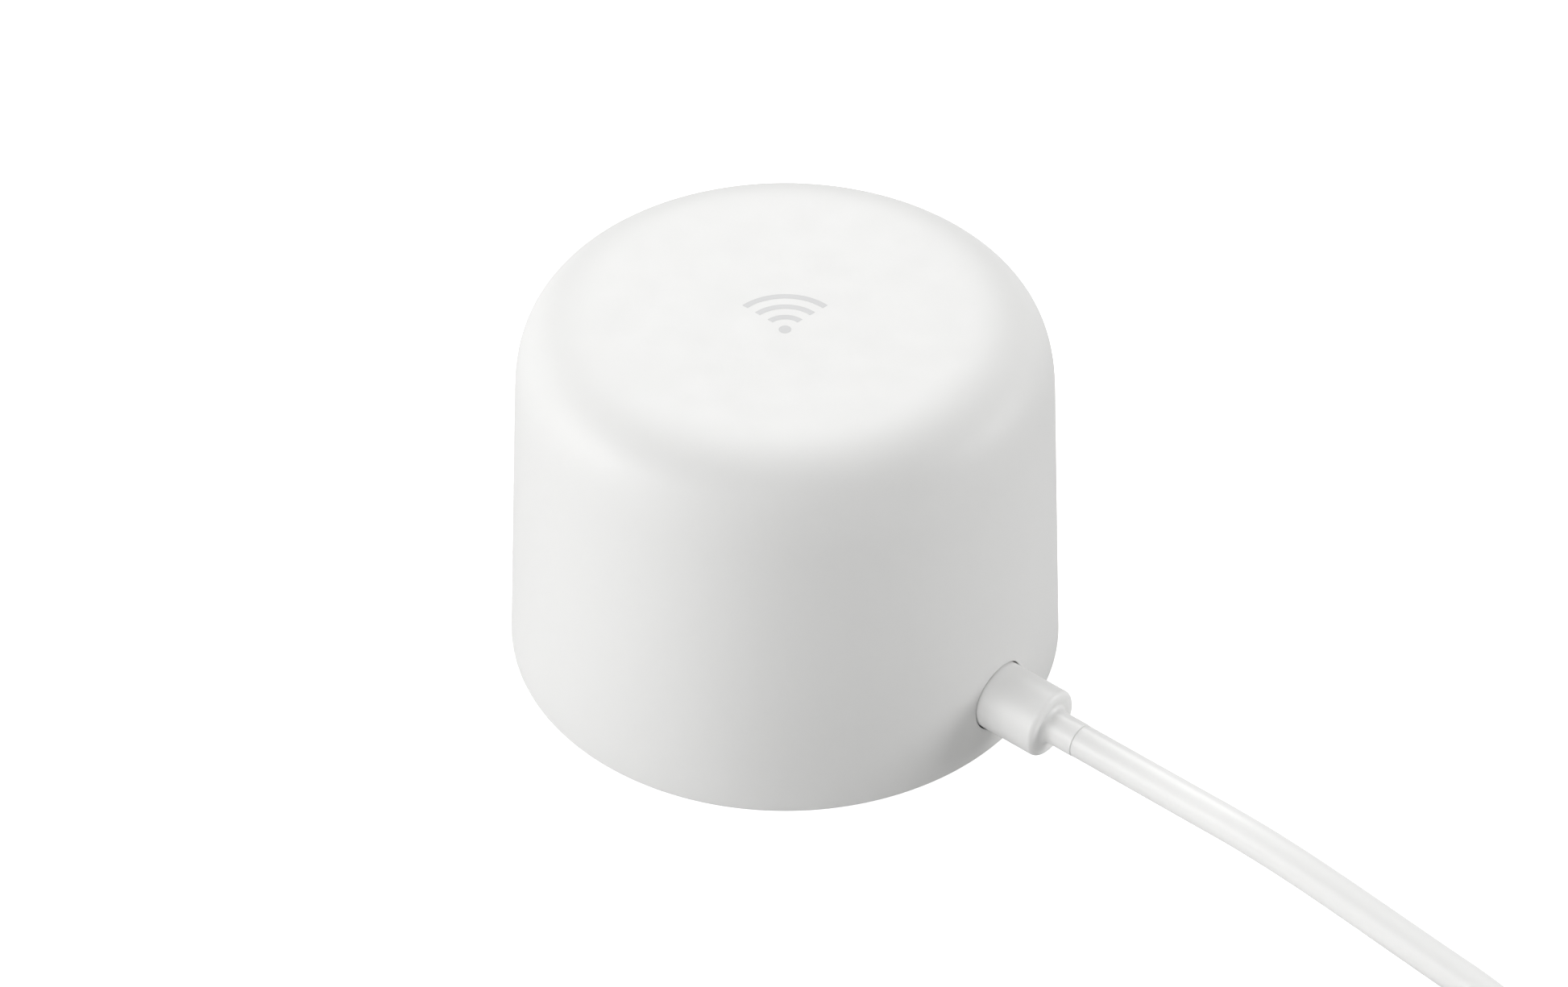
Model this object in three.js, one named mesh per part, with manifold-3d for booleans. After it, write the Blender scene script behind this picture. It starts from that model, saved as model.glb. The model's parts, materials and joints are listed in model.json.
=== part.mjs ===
// A small round wireless router: a domed cylindrical cover over a round circuit board, four
// antennas on a carrier above it, a network jack at the back, a recessed reset button, and a
// power lead with a round-collared plug at the front. Millimetres, +Z up. The origin is at the
// centre of the foot's underside, and the plug's axis lies along +X.
import * as THREE from 'three';
import { mergeVertices } from 'three/addons/utils/BufferGeometryUtils.js';
import Module from 'manifold-3d';

const manifold = await Module();
manifold.setup();

// ---- driving dimensions -------------------------------------------------------------------
const GAP = 0.3; // between any two pieces
const BODY_R = 40; // cover, at the floor
const SHOULDER_R = 37.3; // cover, where the shoulder starts
const BODY_H = 56.3;
const SHOULDER_H = 12.8; // radius of the shoulder's curve
const SHOULDER_POWER = 2.86; // 2 would be a quarter circle; more is squarer
const WALL = 2;
const COVER_Z = 0.2; // the cover's lower edge stands this far off the floor
const ROUND = 64; // sides of the large round pieces
const SMALL_ROUND = 14; // sides of screws, pins and cans

const BASE = { r: 37.4, z0: 0.8, z1: 3 };
const FOOT = { inner: 32.6, outer: 36.2, height: 1.6 };
const BOARD = { r: 33.5, z0: 4.6, z1: 6.2 };
const POST = { r: 2.8, place: 28.4, hole: 1.5, depth: 9 };
const GUSSET_Z = 37; // underside of the rib between a post and the wall
const SCREW = { head: 2.4, headH: 1.1, shaft: 1.2, length: 12 };

const PORT_Z = 8.5; // height of the plug's axis and of the reset button
const PORT_R = 5.35; // hole in the cover round the plug's collar
const CORD_D = 4.8;
const COLLAR = { r: 5, x0: 36.6, x1: 48.4, edge: 0.8 };
const NECK = { x0: 48.7, x1: 53, r0: 2.75, r1: 2.45 };
const PLUG_TIP = { width: 8.25, height: 2.4, wall: 0.3, length: 6.4 };
const SOCKET = { x0: 28.6, x1: 36, width: 9.7, height: 3.8, wall: 0.4 };

const JACK = { front: -35.4, back: -19, half: 8, z0: 6.5, z1: 19.5 };
const JACK_HOLE = { half: 5.9, z0: 8.6, z1: 16, depth: 13.4, latchHalf: 3, latchZ: 18.3 };
const JACK_WINDOW = { half: 6.3, z0: 8.2, z1: 18.7 };
const SHIELD_WALL = 0.3;

const BUTTON = { r: 2, hole: 2.35, flange: 3, travel: 0.6 };
const HEATSINK = { x0: -13, x1: 15, half: 15, z0: 9.3, base: 2.2, top: 24, fins: 9, fin: 1.2 };
const CARRIER = { outer: 23.4, inner: 21.4, z0: 27, z1: 45 };
const CARRIER_SCREW_X = 14;
const CARRIER_BOSS = { r: 2.6, hole: 1.3, depth: 5 };
const ANTENNA = { place: 24.2, thick: 0.6, width: 19, z0: 28.5, z1: 43.5 };
const COAX_R = 0.6;
const COAX_LANE = 33.6; // radius at which the antenna cables run round, outside the posts

// the power lead's route and its coil, which lies on the floor
const LEAD_TURN_R = 31; // the bend from the plug's line into the coil
const LEAD_DROP = { from: 80, over: 75 }; // where it leaves the plug's height, and how slowly
const COIL = { x: 111, y: -65, r: 28.8, across: 4, high: 2 };
const FAR = { neck: 9, body: 20, width: 12, height: 6.6 }; // the plug on the free end
const TAIL = { length: 62, drop: 42 }; // the free end, from the coil's south side to its plug
const TIE = { angle: 200, width: 8, thick: 1 };

// ---- materials ----------------------------------------------------------------------------
const finish = (color, roughness, metalness = 0) =>
  new THREE.MeshStandardMaterial({ color, roughness, metalness });
const WHITE = finish('#eef0f1', 0.5);
const WHITE_GLOSS = finish('#f2f3f4', 0.3);
const GREY_PLASTIC = finish('#c9cbcc', 0.6);
const BLACK_PLASTIC = finish('#1b1c1e', 0.55);
const RUBBER = finish('#8d9092', 0.85);
const STEEL = finish('#b9bcc0', 0.35, 0.9);
const ALUMINIUM = finish('#c4c7ca', 0.45, 0.9);
const GOLD = finish('#c9a24a', 0.35, 0.9);
const BOARD_GREEN = finish('#1f5a3c', 0.6);
const CLEAR_WHITE = finish('#f6f7f8', 0.4);

// ---- shapes -------------------------------------------------------------------------------
/** A closed geometry as a solid that can be joined and cut. */
function solid(geometry) {
  const bare = geometry.index ? geometry.toNonIndexed() : geometry.clone();
  for (const name of Object.keys(bare.attributes)) {
    if (name !== 'position') bare.deleteAttribute(name);
  }
  const merged = mergeVertices(bare, 1e-4);
  return new manifold.Manifold(new manifold.Mesh({
    numProp: 3,
    vertProperties: new Float32Array(merged.attributes.position.array),
    triVerts: new Uint32Array(merged.index.array),
  }));
}

/** A solid's surface as a geometry. */
function surface(made) {
  const mesh = made.getMesh();
  const geometry = new THREE.BufferGeometry();
  geometry.setAttribute('position', new THREE.BufferAttribute(mesh.vertProperties, 3));
  geometry.setIndex(new THREE.BufferAttribute(mesh.triVerts, 1));
  geometry.computeVertexNormals();
  return geometry;
}

/** A box between two corners. */
function box(x0, x1, y0, y1, z0, z1) {
  const geometry = new THREE.BoxGeometry(x1 - x0, y1 - y0, z1 - z0);
  geometry.translate((x0 + x1) / 2, (y0 + y1) / 2, (z0 + z1) / 2);
  return solid(geometry);
}

/** Turns a shape made round +Z so that its axis lies along X, Y or Z, then moves it. */
function place(geometry, axis, x, y, z) {
  if (axis === 'x') geometry.rotateY(Math.PI / 2);
  if (axis === 'y') geometry.rotateX(-Math.PI / 2);
  geometry.translate(x, y, z);
  return geometry;
}

/** A round bar along an axis, from its first end's centre. */
function bar(radius, length, [x, y, z], axis = 'z', sides = SMALL_ROUND, endRadius = radius) {
  const geometry = new THREE.CylinderGeometry(endRadius, radius, length, sides);
  geometry.rotateX(Math.PI / 2).translate(0, 0, length / 2);
  return solid(place(geometry, axis, x, y, z));
}

/** A turned solid round Z, from [radius, height] points listed so that its faces point out. */
function turned(points, sides = ROUND) {
  const geometry = new THREE.LatheGeometry(points.map(([r, z]) => new THREE.Vector2(r, z)), sides);
  return geometry.rotateX(Math.PI / 2);
}

/** A flat ring from z0 to z1. */
function ring(inner, outer, z0, z1, sides = ROUND) {
  return solid(turned([[inner, z0], [outer, z0], [outer, z1], [inner, z1], [inner, z0]], sides));
}

/** A round bar that follows a list of [x, y, z] points. */
function tube(points, radius, sides, steps) {
  const section = new THREE.Shape();
  section.absarc(0, 0, radius, 0, 2 * Math.PI);
  const path = new THREE.CatmullRomCurve3(points.map((p) => new THREE.Vector3(...p)));
  return new THREE.ExtrudeGeometry(section, {
    steps, extrudePath: path, curveSegments: sides / 2, bevelEnabled: false,
  });
}

const polar = (radius, degrees) => [
  radius * Math.cos(THREE.MathUtils.degToRad(degrees)),
  radius * Math.sin(THREE.MathUtils.degToRad(degrees)),
];
const POST_BEARINGS = [45, 135, 225, 315];
const POST_PLACES = POST_BEARINGS.map((angle) => polar(POST.place, angle));

const router = new THREE.Group();

/** Adds a finished piece, from a geometry or a solid, as a named sub-part. */
function add(name, made, material) {
  const geometry = made.isBufferGeometry ? made : surface(made);
  const mesh = new THREE.Mesh(geometry, material);
  mesh.name = name;
  router.add(mesh);
  return mesh;
}

// ---- casing -------------------------------------------------------------------------------
const SIDE_H = BODY_H - SHOULDER_H;
const TAPER = (BODY_R - SHOULDER_R) / SIDE_H; // the side leans in by this much for each mm up
const inside = (z) => BODY_R - WALL - z * TAPER;

/** The radius and height at a share of the shoulder's curve, which goes on from the side's lean. */
function shoulder(share, inset = 0) {
  const turn = share * Math.PI / 2;
  const reach = SHOULDER_H - inset;
  const out = reach * Math.cos(turn) ** (2 / SHOULDER_POWER);
  const up = reach * Math.sin(turn) ** (2 / SHOULDER_POWER);
  return [SHOULDER_R - SHOULDER_H + out - up * TAPER, SIDE_H + up];
}

function outerCover() {
  const bends = 9;
  const shares = Array.from({ length: bends + 1 }, (_, i) => i / bends);
  const outside = shares.map((share) => shoulder(share));
  const inner = shares.map((share) => shoulder(share, WALL)).reverse();
  const profile = [
    [inside(COVER_Z), COVER_Z], [inside(COVER_Z) + WALL, COVER_Z], ...outside,
    [0, BODY_H], [0, BODY_H - WALL], ...inner, [inside(COVER_Z), COVER_Z],
  ];
  let shell = solid(turned(profile));
  const top = BODY_H - WALL + 0.3;
  const postFoot = BOARD.z1 + GAP;
  const gusset = box(POST.place, SHOULDER_R - GAP, -0.7, 0.7, GUSSET_Z, SIDE_H);
  for (const angle of POST_BEARINGS) {
    const [x, y] = polar(POST.place, angle);
    shell = shell.add(bar(POST.r, top - postFoot, [x, y, postFoot]));
    shell = shell.add(gusset.rotate([0, 0, angle]));
    shell = shell.subtract(bar(POST.hole, POST.depth, [x, y, postFoot - 1]));
  }
  for (const x of [-CARRIER_SCREW_X, CARRIER_SCREW_X]) {
    const foot = CARRIER.z1 + GAP;
    shell = shell.add(bar(CARRIER_BOSS.r, top - foot, [x, 0, foot]));
    shell = shell.subtract(bar(CARRIER_BOSS.hole, CARRIER_BOSS.depth, [x, 0, foot]));
  }
  shell = shell.subtract(bar(PORT_R, 8, [BODY_R - 5, 0, PORT_Z], 'x', 28));
  shell = shell.subtract(bar(BUTTON.hole, 8, [0, BODY_R - 5, PORT_Z], 'y', 20));
  return shell.subtract(box(-BODY_R - 1, JACK.front - GAP, -JACK_WINDOW.half, JACK_WINDOW.half,
    JACK_WINDOW.z0, JACK_WINDOW.z1));
}

function basePlate() {
  let plate = bar(BASE.r, BASE.z1 - BASE.z0, [0, 0, BASE.z0], 'z', ROUND);
  plate = plate.subtract(ring(FOOT.inner - GAP, FOOT.outer + GAP, 0, FOOT.height + GAP));
  for (const [x, y] of POST_PLACES) {
    plate = plate.add(bar(3, BOARD.z0 - GAP - BASE.z1 + 0.5, [x, y, BASE.z1 - 0.5]));
    plate = plate.subtract(bar(SCREW.shaft + GAP, 8, [x, y, 0]));
    plate = plate.subtract(bar(SCREW.head + 0.5, 1.7, [x, y, BASE.z0 - 0.1]));
  }
  for (let row = -4; row <= 4; row += 1) {
    const half = 12 - Math.abs(row) * 1.2;
    plate = plate.subtract(box(-half, half, row * 3 - 0.6, row * 3 + 0.6, 0, BASE.z1 + 1));
  }
  return plate;
}

function screw(x, y, headZ, up, sizes = SCREW) {
  const head = bar(sizes.head, sizes.headH, [x, y, up ? headZ : headZ - sizes.headH]);
  const from = up ? headZ + sizes.headH - 0.2 : headZ - sizes.headH - sizes.length + 0.2;
  const shaft = bar(sizes.shaft, sizes.length, [x, y, from], 'z', 10);
  const slot = (width, length) => box(x - length / 2, x + length / 2, y - width / 2, y + width / 2,
    up ? headZ - 0.1 : headZ - 0.5, up ? headZ + 0.5 : headZ + 0.1);
  return head.add(shaft).subtract(slot(0.7, 2.4)).subtract(slot(2.4, 0.7));
}


// ---- main board and what stands on it -----------------------------------------------------
const HEATSINK_PINS = [[-10.2, 12.2], [12.2, -12.2]];
const HEATSINK_SCREW = { head: 1.9, headH: 1.2, shaft: 0.9, length: 6.4 };

function mainBoard() {
  let board = bar(BOARD.r, BOARD.z1 - BOARD.z0, [0, 0, BOARD.z0], 'z', 48);
  for (const [x, y] of POST_PLACES) board = board.subtract(bar(1.6, 4, [x, y, BOARD.z0 - 1]));
  for (const [x, y] of HEATSINK_PINS) board = board.subtract(bar(1.3, 4, [x, y, BOARD.z0 - 1]));
  return board;
}

const onBoard = (x0, x1, y0, y1, height) =>
  box(x0, x1, y0, y1, BOARD.z1 + GAP, BOARD.z1 + GAP + height);

function heatsink() {
  const { x0, x1, half, z0, base, top, fins, fin } = HEATSINK;
  let block = box(x0, x1, -half, half, z0, z0 + base);
  for (let i = 0; i < fins; i += 1) {
    const y = -half + fin / 2 + (i * (2 * half - fin)) / (fins - 1);
    block = block.add(box(x0, x1, y - fin / 2, y + fin / 2, z0 + base - 0.5, top));
  }
  for (const [x, y] of HEATSINK_PINS) {
    block = block.subtract(bar(2.6, 20, [x, y, z0 + base]));
    block = block.subtract(bar(1.2, 8, [x, y, z0 - 1]));
  }
  return block;
}

/** A tin can with an open underside. */
function radioShield(x0, x1, y0, y1) {
  const z0 = BOARD.z1 + GAP;
  return box(x0, x1, y0, y1, z0, z0 + 2.4)
    .subtract(box(x0 + 0.3, x1 - 0.3, y0 + 0.3, y1 - 0.3, z0 - 1, z0 + 2.1));
}

function networkJackHousing() {
  const front = JACK.front - 1;
  return box(JACK.front, JACK.back, -JACK.half, JACK.half, JACK.z0, JACK.z1)
    .subtract(box(front, JACK.front + JACK_HOLE.depth, -JACK_HOLE.half, JACK_HOLE.half,
      JACK_HOLE.z0, JACK_HOLE.z1))
    .subtract(box(front, JACK.front + JACK_HOLE.depth, -JACK_HOLE.latchHalf, JACK_HOLE.latchHalf,
      JACK_HOLE.z1 - 0.5, JACK_HOLE.latchZ));
}

function networkJackShield() {
  const side = JACK.half + GAP;
  const top = JACK.z1 + GAP;
  return box(JACK.front, JACK.back + GAP + SHIELD_WALL, -side - SHIELD_WALL, side + SHIELD_WALL,
    JACK.z0, top + SHIELD_WALL)
    .subtract(box(JACK.front - 1, JACK.back + GAP, -side, side, JACK.z0 - 1, top));
}

/** Eight sprung contacts on a comb along the floor of the jack. */
function networkJackContacts() {
  const floor = JACK_HOLE.z0 + GAP;
  const x0 = JACK.front + 1.5;
  const x1 = JACK.front + JACK_HOLE.depth - GAP;
  let comb = box(x0, x1, -4.2, 4.2, floor, floor + 0.4);
  for (let i = 0; i < 8; i += 1) {
    const y = (i - 3.5) * 1.02;
    const wire = new THREE.Shape([[x0, floor], [x0 + 1, floor], [x1 - 1, floor + 1.5], [x1, floor],
      [x1, floor + 1.9], [x1 - 1.2, floor + 1.9]].map(([x, z]) => new THREE.Vector2(x, z)));
    const geometry = new THREE.ExtrudeGeometry(wire, { depth: 0.36, bevelEnabled: false });
    geometry.rotateX(Math.PI / 2).translate(0, y + 0.18, 0);
    comb = comb.add(solid(geometry));
  }
  return comb;
}

/** A bar with a slot-shaped section, along X from x0. */
function slotBar(x0, length, width, height) {
  const half = (width - height) / 2;
  const radius = height / 2;
  const section = new THREE.Shape();
  section.absarc(half, 0, radius, -Math.PI / 2, Math.PI / 2);
  section.absarc(-half, 0, radius, Math.PI / 2, 1.5 * Math.PI);
  const geometry = new THREE.ExtrudeGeometry(section, {
    depth: length, curveSegments: 5, bevelEnabled: false,
  });
  geometry.rotateZ(Math.PI / 2).rotateY(Math.PI / 2);
  return solid(geometry.translate(x0, 0, PORT_Z));
}

function powerSocketShell() {
  const { x0, x1, width, height, wall } = SOCKET;
  return slotBar(x0, x1 - x0, width, height)
    .subtract(slotBar(x0 - 1, x1 - x0 + 2, width - 2 * wall, height - 2 * wall));
}

function powerSocketInsert() {
  const { x0, width, height, wall } = SOCKET;
  const play = 2 * (wall + GAP);
  const block = slotBar(x0, 0.9, width - play, height - play);
  return block.add(box(x0 + 0.5, x0 + 5.6, -3.3, 3.3, PORT_Z - 0.35, PORT_Z + 0.35));
}

/** The metal tip of a plug, hollow and open at both ends. */
function plugTip(x0) {
  const { width, height, wall, length } = PLUG_TIP;
  return slotBar(x0, length, width, height)
    .subtract(slotBar(x0 - 1, length + 2, width - 2 * wall, height - 2 * wall));
}

// ---- reset button -------------------------------------------------------------------------
const SWITCH = { half: 3.1, y0: 26, y1: 31, height: 4 };

function resetSwitch() {
  return onBoard(-SWITCH.half, SWITCH.half, SWITCH.y0, SWITCH.y1, SWITCH.height)
    .subtract(bar(1.6, 4, [0, SWITCH.y1 - 2.6, PORT_Z], 'y'));
}

function resetSwitchPlunger() {
  return bar(1.2, 3.5, [0, SWITCH.y1 - 1.6, PORT_Z], 'y');
}

function resetButton() {
  const stemFrom = SWITCH.y1 + 2.2;
  const flangeFrom = 36;
  return bar(1.4, flangeFrom - stemFrom + 0.5, [0, stemFrom, PORT_Z], 'y')
    .add(bar(BUTTON.flange, 1, [0, flangeFrom, PORT_Z], 'y', 18))
    .add(bar(BUTTON.r, 2.7, [0, flangeFrom + 0.5, PORT_Z], 'y', 18));
}

// ---- antennas and status light ------------------------------------------------------------
function antennaCarrier() {
  const { outer, inner, z0, z1 } = CARRIER;
  let frame = ring(inner, outer, z0, z1, 40).add(ring(7.4, outer, z1 - 2, z1, 40));
  for (const x of [-CARRIER_SCREW_X, CARRIER_SCREW_X]) {
    frame = frame.subtract(bar(1.4, 6, [x, 0, z1 - 4]));
  }
  return frame;
}

/** One antenna plate, on the carrier's outside at a bearing, with a foot slot cut in it. */
function antenna() {
  const { place: reach, thick, width, z0, z1 } = ANTENNA;
  return box(reach, reach + thick, -width / 2, width / 2, z0, z1)
    .subtract(box(reach - 1, reach + 2, -width / 2 + 3, width / 2 - 3, z0 + 4, z0 + 5.5))
    .subtract(box(reach - 1, reach + 2, width / 2 - 6, width / 2 + 1, z0 + 9, z0 + 10.2));
}

const ANTENNA_BEARINGS = [0, 90, 180, 270];
const COAX_STARTS = [[16.4, -24.4], [16.4, -27.6], [-16.4, -24.4], [-16.4, -27.6]];
const COAX_PLUG = { r: 1.2, height: 1.5 };
const COAX_SWEEPS = [64, 141, -64, 24];
const COAX_LANE_Z = [20, 12, 20, 14];
const FEED_Z = 33; // height at which each cable meets its antenna

/** A thin cable from its board plug up, round inside the wall, and in to its antenna. */
function coaxCable(index) {
  const [x, y] = COAX_STARTS[index];
  const startR = Math.hypot(x, y);
  const start = THREE.MathUtils.radToDeg(Math.atan2(y, x));
  const foot = BOARD.z1 + GAP + COAX_PLUG.height + GAP;
  const laneZ = COAX_LANE_Z[index];
  const points = [[x, y, foot], [x, y, foot + 3]];
  const end = start + COAX_SWEEPS[index];
  const steps = Math.max(4, Math.round(Math.abs(COAX_SWEEPS[index]) / 14));
  for (let i = 0; i <= steps; i += 1) {
    const share = i / steps;
    const radius = Math.min(COAX_LANE, startR + (COAX_LANE - startR) * (0.4 + share * 3));
    const z = laneZ + (FEED_Z - 5 - laneZ) * share ** 2;
    points.push([...polar(radius, start + (end - start) * share), z]);
  }
  points.push([...polar(29.6, end), FEED_Z - 2]);
  points.push([...polar(ANTENNA.place + ANTENNA.thick + COAX_R + 0.5, end), FEED_Z]);
  return tube(points, COAX_R, 6, 4 + 4 * steps);
}

const LIGHT = { boardR: 6, board: 1, led: 1.4, guideR: 5 };

// ---- power lead ---------------------------------------------------------------------------
function plugCollar(x0, x1, radius, edge, sides = 28) {
  const bend = [[radius, x1 - x0 - edge], [radius - edge * 0.3, x1 - x0 - edge * 0.3],
    [radius - edge, x1 - x0]];
  const geometry = turned([[0, 0], [radius, 0], ...bend, [0, x1 - x0]], sides);
  return place(geometry, 'x', x0, 0, PORT_Z);
}

/** Height of the lead's centre after it has run a distance from the plug's line. */
function leadHeight(run) {
  const share = THREE.MathUtils.clamp((run - LEAD_DROP.from) / LEAD_DROP.over, 0, 1);
  const fallen = 6 * share ** 2 - 8 * share ** 3 + 3 * share ** 4;
  return PORT_Z - (PORT_Z - CORD_D / 2) * fallen;
}

const COIL_OUT = COIL.r + CORD_D * COIL.across / 2;
const COIL_IN = COIL.r - CORD_D * COIL.across / 2;
const OUTER_TURN = COIL_OUT - CORD_D / 2;

/** The lead from its plug, straight out, down to the floor and round into the coil. */
function leadRoute() {
  const first = NECK.x1 + GAP;
  const bendX = COIL.x + OUTER_TURN - LEAD_TURN_R;
  const points = [];
  for (const x of [first, 62, 71, 80, 88, 96, 104, 112, bendX]) points.push([x, 0, leadHeight(x)]);
  for (let turn = 15; turn <= 90; turn += 15) {
    const [across, along] = polar(LEAD_TURN_R, 90 - turn);
    const run = bendX + THREE.MathUtils.degToRad(turn) * LEAD_TURN_R;
    points.push([bendX + across, along - LEAD_TURN_R, leadHeight(run)]);
  }
  const entry = Math.sqrt(COIL_OUT ** 2 - (OUTER_TURN - CORD_D / 2) ** 2) + 0.8;
  for (const y of [-LEAD_TURN_R - 7, COIL.y + entry]) {
    points.push([COIL.x + OUTER_TURN, y, CORD_D / 2]);
  }
  return points;
}

/** The lead's free end: off the coil's south side on its top layer, down, and west to the plug. */
function tailRoute() {
  const top = CORD_D * (COIL.high - 0.5);
  const y = COIL.y - OUTER_TURN;
  const entry = Math.sqrt(COIL_OUT ** 2 - (OUTER_TURN - CORD_D / 2) ** 2) + 0.8;
  const points = [];
  for (let i = 0; i <= 6; i += 1) {
    const run = entry + (i / 6) * (TAIL.length - entry);
    const share = Math.min(run / TAIL.drop, 1);
    const fall = share * share * (3 - 2 * share);
    points.push([COIL.x - run, y, top - (top - FAR.height / 2) * fall]);
  }
  return points;
}

const TIE_ROOM = TIE.thick + GAP;

/** The coil's outer shape, waisted where the tie goes round it. */
function leadCoil() {
  const high = CORD_D * COIL.high;
  const body = solid(turned([[COIL_IN, 0], [COIL_OUT, 0], [COIL_OUT, high], [COIL_IN, high],
    [COIL_IN, 0]]));
  const half = TIE.width / 2 + GAP;
  const waist = box(COIL_IN - 1, COIL_OUT + 1, -half, half, -1, high + 1)
    .subtract(box(COIL_IN + TIE_ROOM, COIL_OUT - TIE_ROOM, -half, half, TIE_ROOM, high - TIE_ROOM));
  return body.subtract(waist.rotate([0, 0, TIE.angle])).translate([COIL.x, COIL.y, 0]);
}

function coilTie() {
  const high = CORD_D * COIL.high;
  const half = TIE.width / 2;
  const strap = box(COIL_IN, COIL_OUT, -half, half, 0, high)
    .subtract(box(COIL_IN + TIE.thick, COIL_OUT - TIE.thick, -half - 1, half + 1, TIE.thick,
      high - TIE.thick));
  return strap.rotate([0, 0, TIE.angle]).translate([COIL.x, COIL.y, 0]);
}

/** Where the far plug's strain relief starts, and it points along -X from there. */
const farStart = COIL.x - TAIL.length - GAP;

/** Turns a piece made along +X at the port's height to point along -X on the floor. */
function toFarEnd(made) {
  return made.translate([0, 0, -PORT_Z]).rotate([0, 0, 180])
    .translate([farStart, COIL.y - OUTER_TURN, FAR.height / 2]);
}

// ---- assembly -----------------------------------------------------------------------------
add('outer_cover', outerCover(), WHITE);
add('base_plate', basePlate(), WHITE);
add('foot_ring', ring(FOOT.inner, FOOT.outer, 0, FOOT.height), RUBBER);
POST_PLACES.forEach(([x, y], i) => {
  add(`base_screw_${i + 1}`, screw(x, y, BASE.z0 + 0.3, true), STEEL);
});

add('main_board', mainBoard(), BOARD_GREEN);
add('power_socket_shell', powerSocketShell(), STEEL);
add('power_socket_insert', powerSocketInsert(), BLACK_PLASTIC);
add('network_jack_housing', networkJackHousing(), BLACK_PLASTIC);
add('network_jack_shield', networkJackShield(), STEEL);
add('network_jack_contacts', networkJackContacts(), GOLD);
add('network_transformer', onBoard(-27, -14, 9.6, 16.2, 4.2), BLACK_PLASTIC);
add('processor', onBoard(-7.5, 7.5, -7.5, 7.5, 1.5), BLACK_PLASTIC);
add('thermal_pad', box(-7, 7, -7, 7, 8.3, 9), GREY_PLASTIC);
add('heatsink', heatsink(), ALUMINIUM);
HEATSINK_PINS.forEach(([x, y], i) => {
  const headTop = HEATSINK.z0 + HEATSINK.base + GAP + HEATSINK_SCREW.headH;
  add(`heatsink_screw_${i + 1}`, screw(x, y, headTop, false, HEATSINK_SCREW), STEEL);
});
add('memory_chip', onBoard(-14, -4.5, 17.5, 25, 1.1), BLACK_PLASTIC);
add('flash_chip', onBoard(4.5, 10.5, 17.5, 22.5, 1.3), BLACK_PLASTIC);
add('radio_shield_1', radioShield(1, 13.5, -29, -17), STEEL);
add('radio_shield_2', radioShield(-13.5, -1, -29, -17), STEEL);
add('power_inductor', onBoard(19.5, 26.5, 6.6, 13.2, 3.8), GREY_PLASTIC);
[[20, -9.5], [26, -9.5], [18.6, 0]].forEach(([x, y], i) => {
  add(`capacitor_${i + 1}`, bar(2.5, 7, [x, y, BOARD.z1 + GAP], 'z', 18), ALUMINIUM);
});

add('antenna_carrier', antennaCarrier(), GREY_PLASTIC);
[-CARRIER_SCREW_X, CARRIER_SCREW_X].forEach((x, i) => {
  const sizes = { ...HEATSINK_SCREW, head: 2.2, length: 7 };
  const head = CARRIER.z1 - 2 - GAP - sizes.headH;
  add(`carrier_screw_${i + 1}`, screw(x, 0, head, true, sizes), STEEL);
});
ANTENNA_BEARINGS.forEach((bearing, i) => {
  add(`antenna_${i + 1}`, antenna(), GOLD).rotation.z = THREE.MathUtils.degToRad(bearing);
});
COAX_STARTS.forEach(([x, y], i) => {
  const plug = bar(COAX_PLUG.r, COAX_PLUG.height, [x, y, BOARD.z1 + GAP], 'z', 12);
  add(`coax_plug_${i + 1}`, plug, GOLD);
  add(`coax_cable_${i + 1}`, coaxCable(i), BLACK_PLASTIC);
});

const lightZ = CARRIER.z1 + GAP;
const ledZ = lightZ + LIGHT.board + GAP;
const guideZ = ledZ + LIGHT.led + GAP;
add('light_board', bar(LIGHT.boardR, LIGHT.board, [0, 0, lightZ], 'z', 28)
  .add(box(-2.6, 2.6, -9, 9, lightZ, lightZ + LIGHT.board)), BOARD_GREEN);
add('status_led', box(-1.8, 1.8, -1.4, 1.4, ledZ, ledZ + LIGHT.led), CLEAR_WHITE);
add('light_guide', bar(3, BODY_H - WALL - GAP - guideZ, [0, 0, guideZ], 'z', 28, LIGHT.guideR),
  CLEAR_WHITE);
add('light_ribbon', tube([[0, -5.5, 44.6], [0, -5.5, 38], [0.5, -9, 31], [2, -16.4, 27],
  [2, -16, 22], [1, -15.9, 12], [0, -16, 8.4]], 0.5, 6, 24), GREY_PLASTIC);

add('reset_switch', resetSwitch(), BLACK_PLASTIC);
add('reset_switch_plunger', resetSwitchPlunger(), GREY_PLASTIC);
add('reset_button', resetButton(), WHITE);

add('plug_collar', plugCollar(COLLAR.x0, COLLAR.x1, COLLAR.r, COLLAR.edge), WHITE);
add('plug_tip', plugTip(COLLAR.x0 - GAP - PLUG_TIP.length), STEEL);
add('plug_neck', bar(NECK.r0, NECK.x1 - NECK.x0, [NECK.x0, 0, PORT_Z], 'x', 16, NECK.r1),
  WHITE_GLOSS);
const leadMeshOf = (points, steps) => tube(points, CORD_D / 2, 10, steps);
add('cord_run', leadMeshOf(leadRoute(), 20), WHITE_GLOSS);
add('cord_coil', leadCoil(), WHITE_GLOSS);
add('cord_tail', leadMeshOf(tailRoute(), 6), WHITE_GLOSS);
add('coil_tie', coilTie(), BLACK_PLASTIC);
add('far_plug_neck', toFarEnd(bar(CORD_D / 2, FAR.neck, [0, 0, PORT_Z], 'x', 16, 2.9)), WHITE);
add('far_plug_body', toFarEnd(slotBar(FAR.neck + GAP, FAR.body, FAR.width, FAR.height)), WHITE);
add('far_plug_tip', toFarEnd(plugTip(FAR.neck + FAR.body + 2 * GAP)), STEEL);

export default router;
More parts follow.
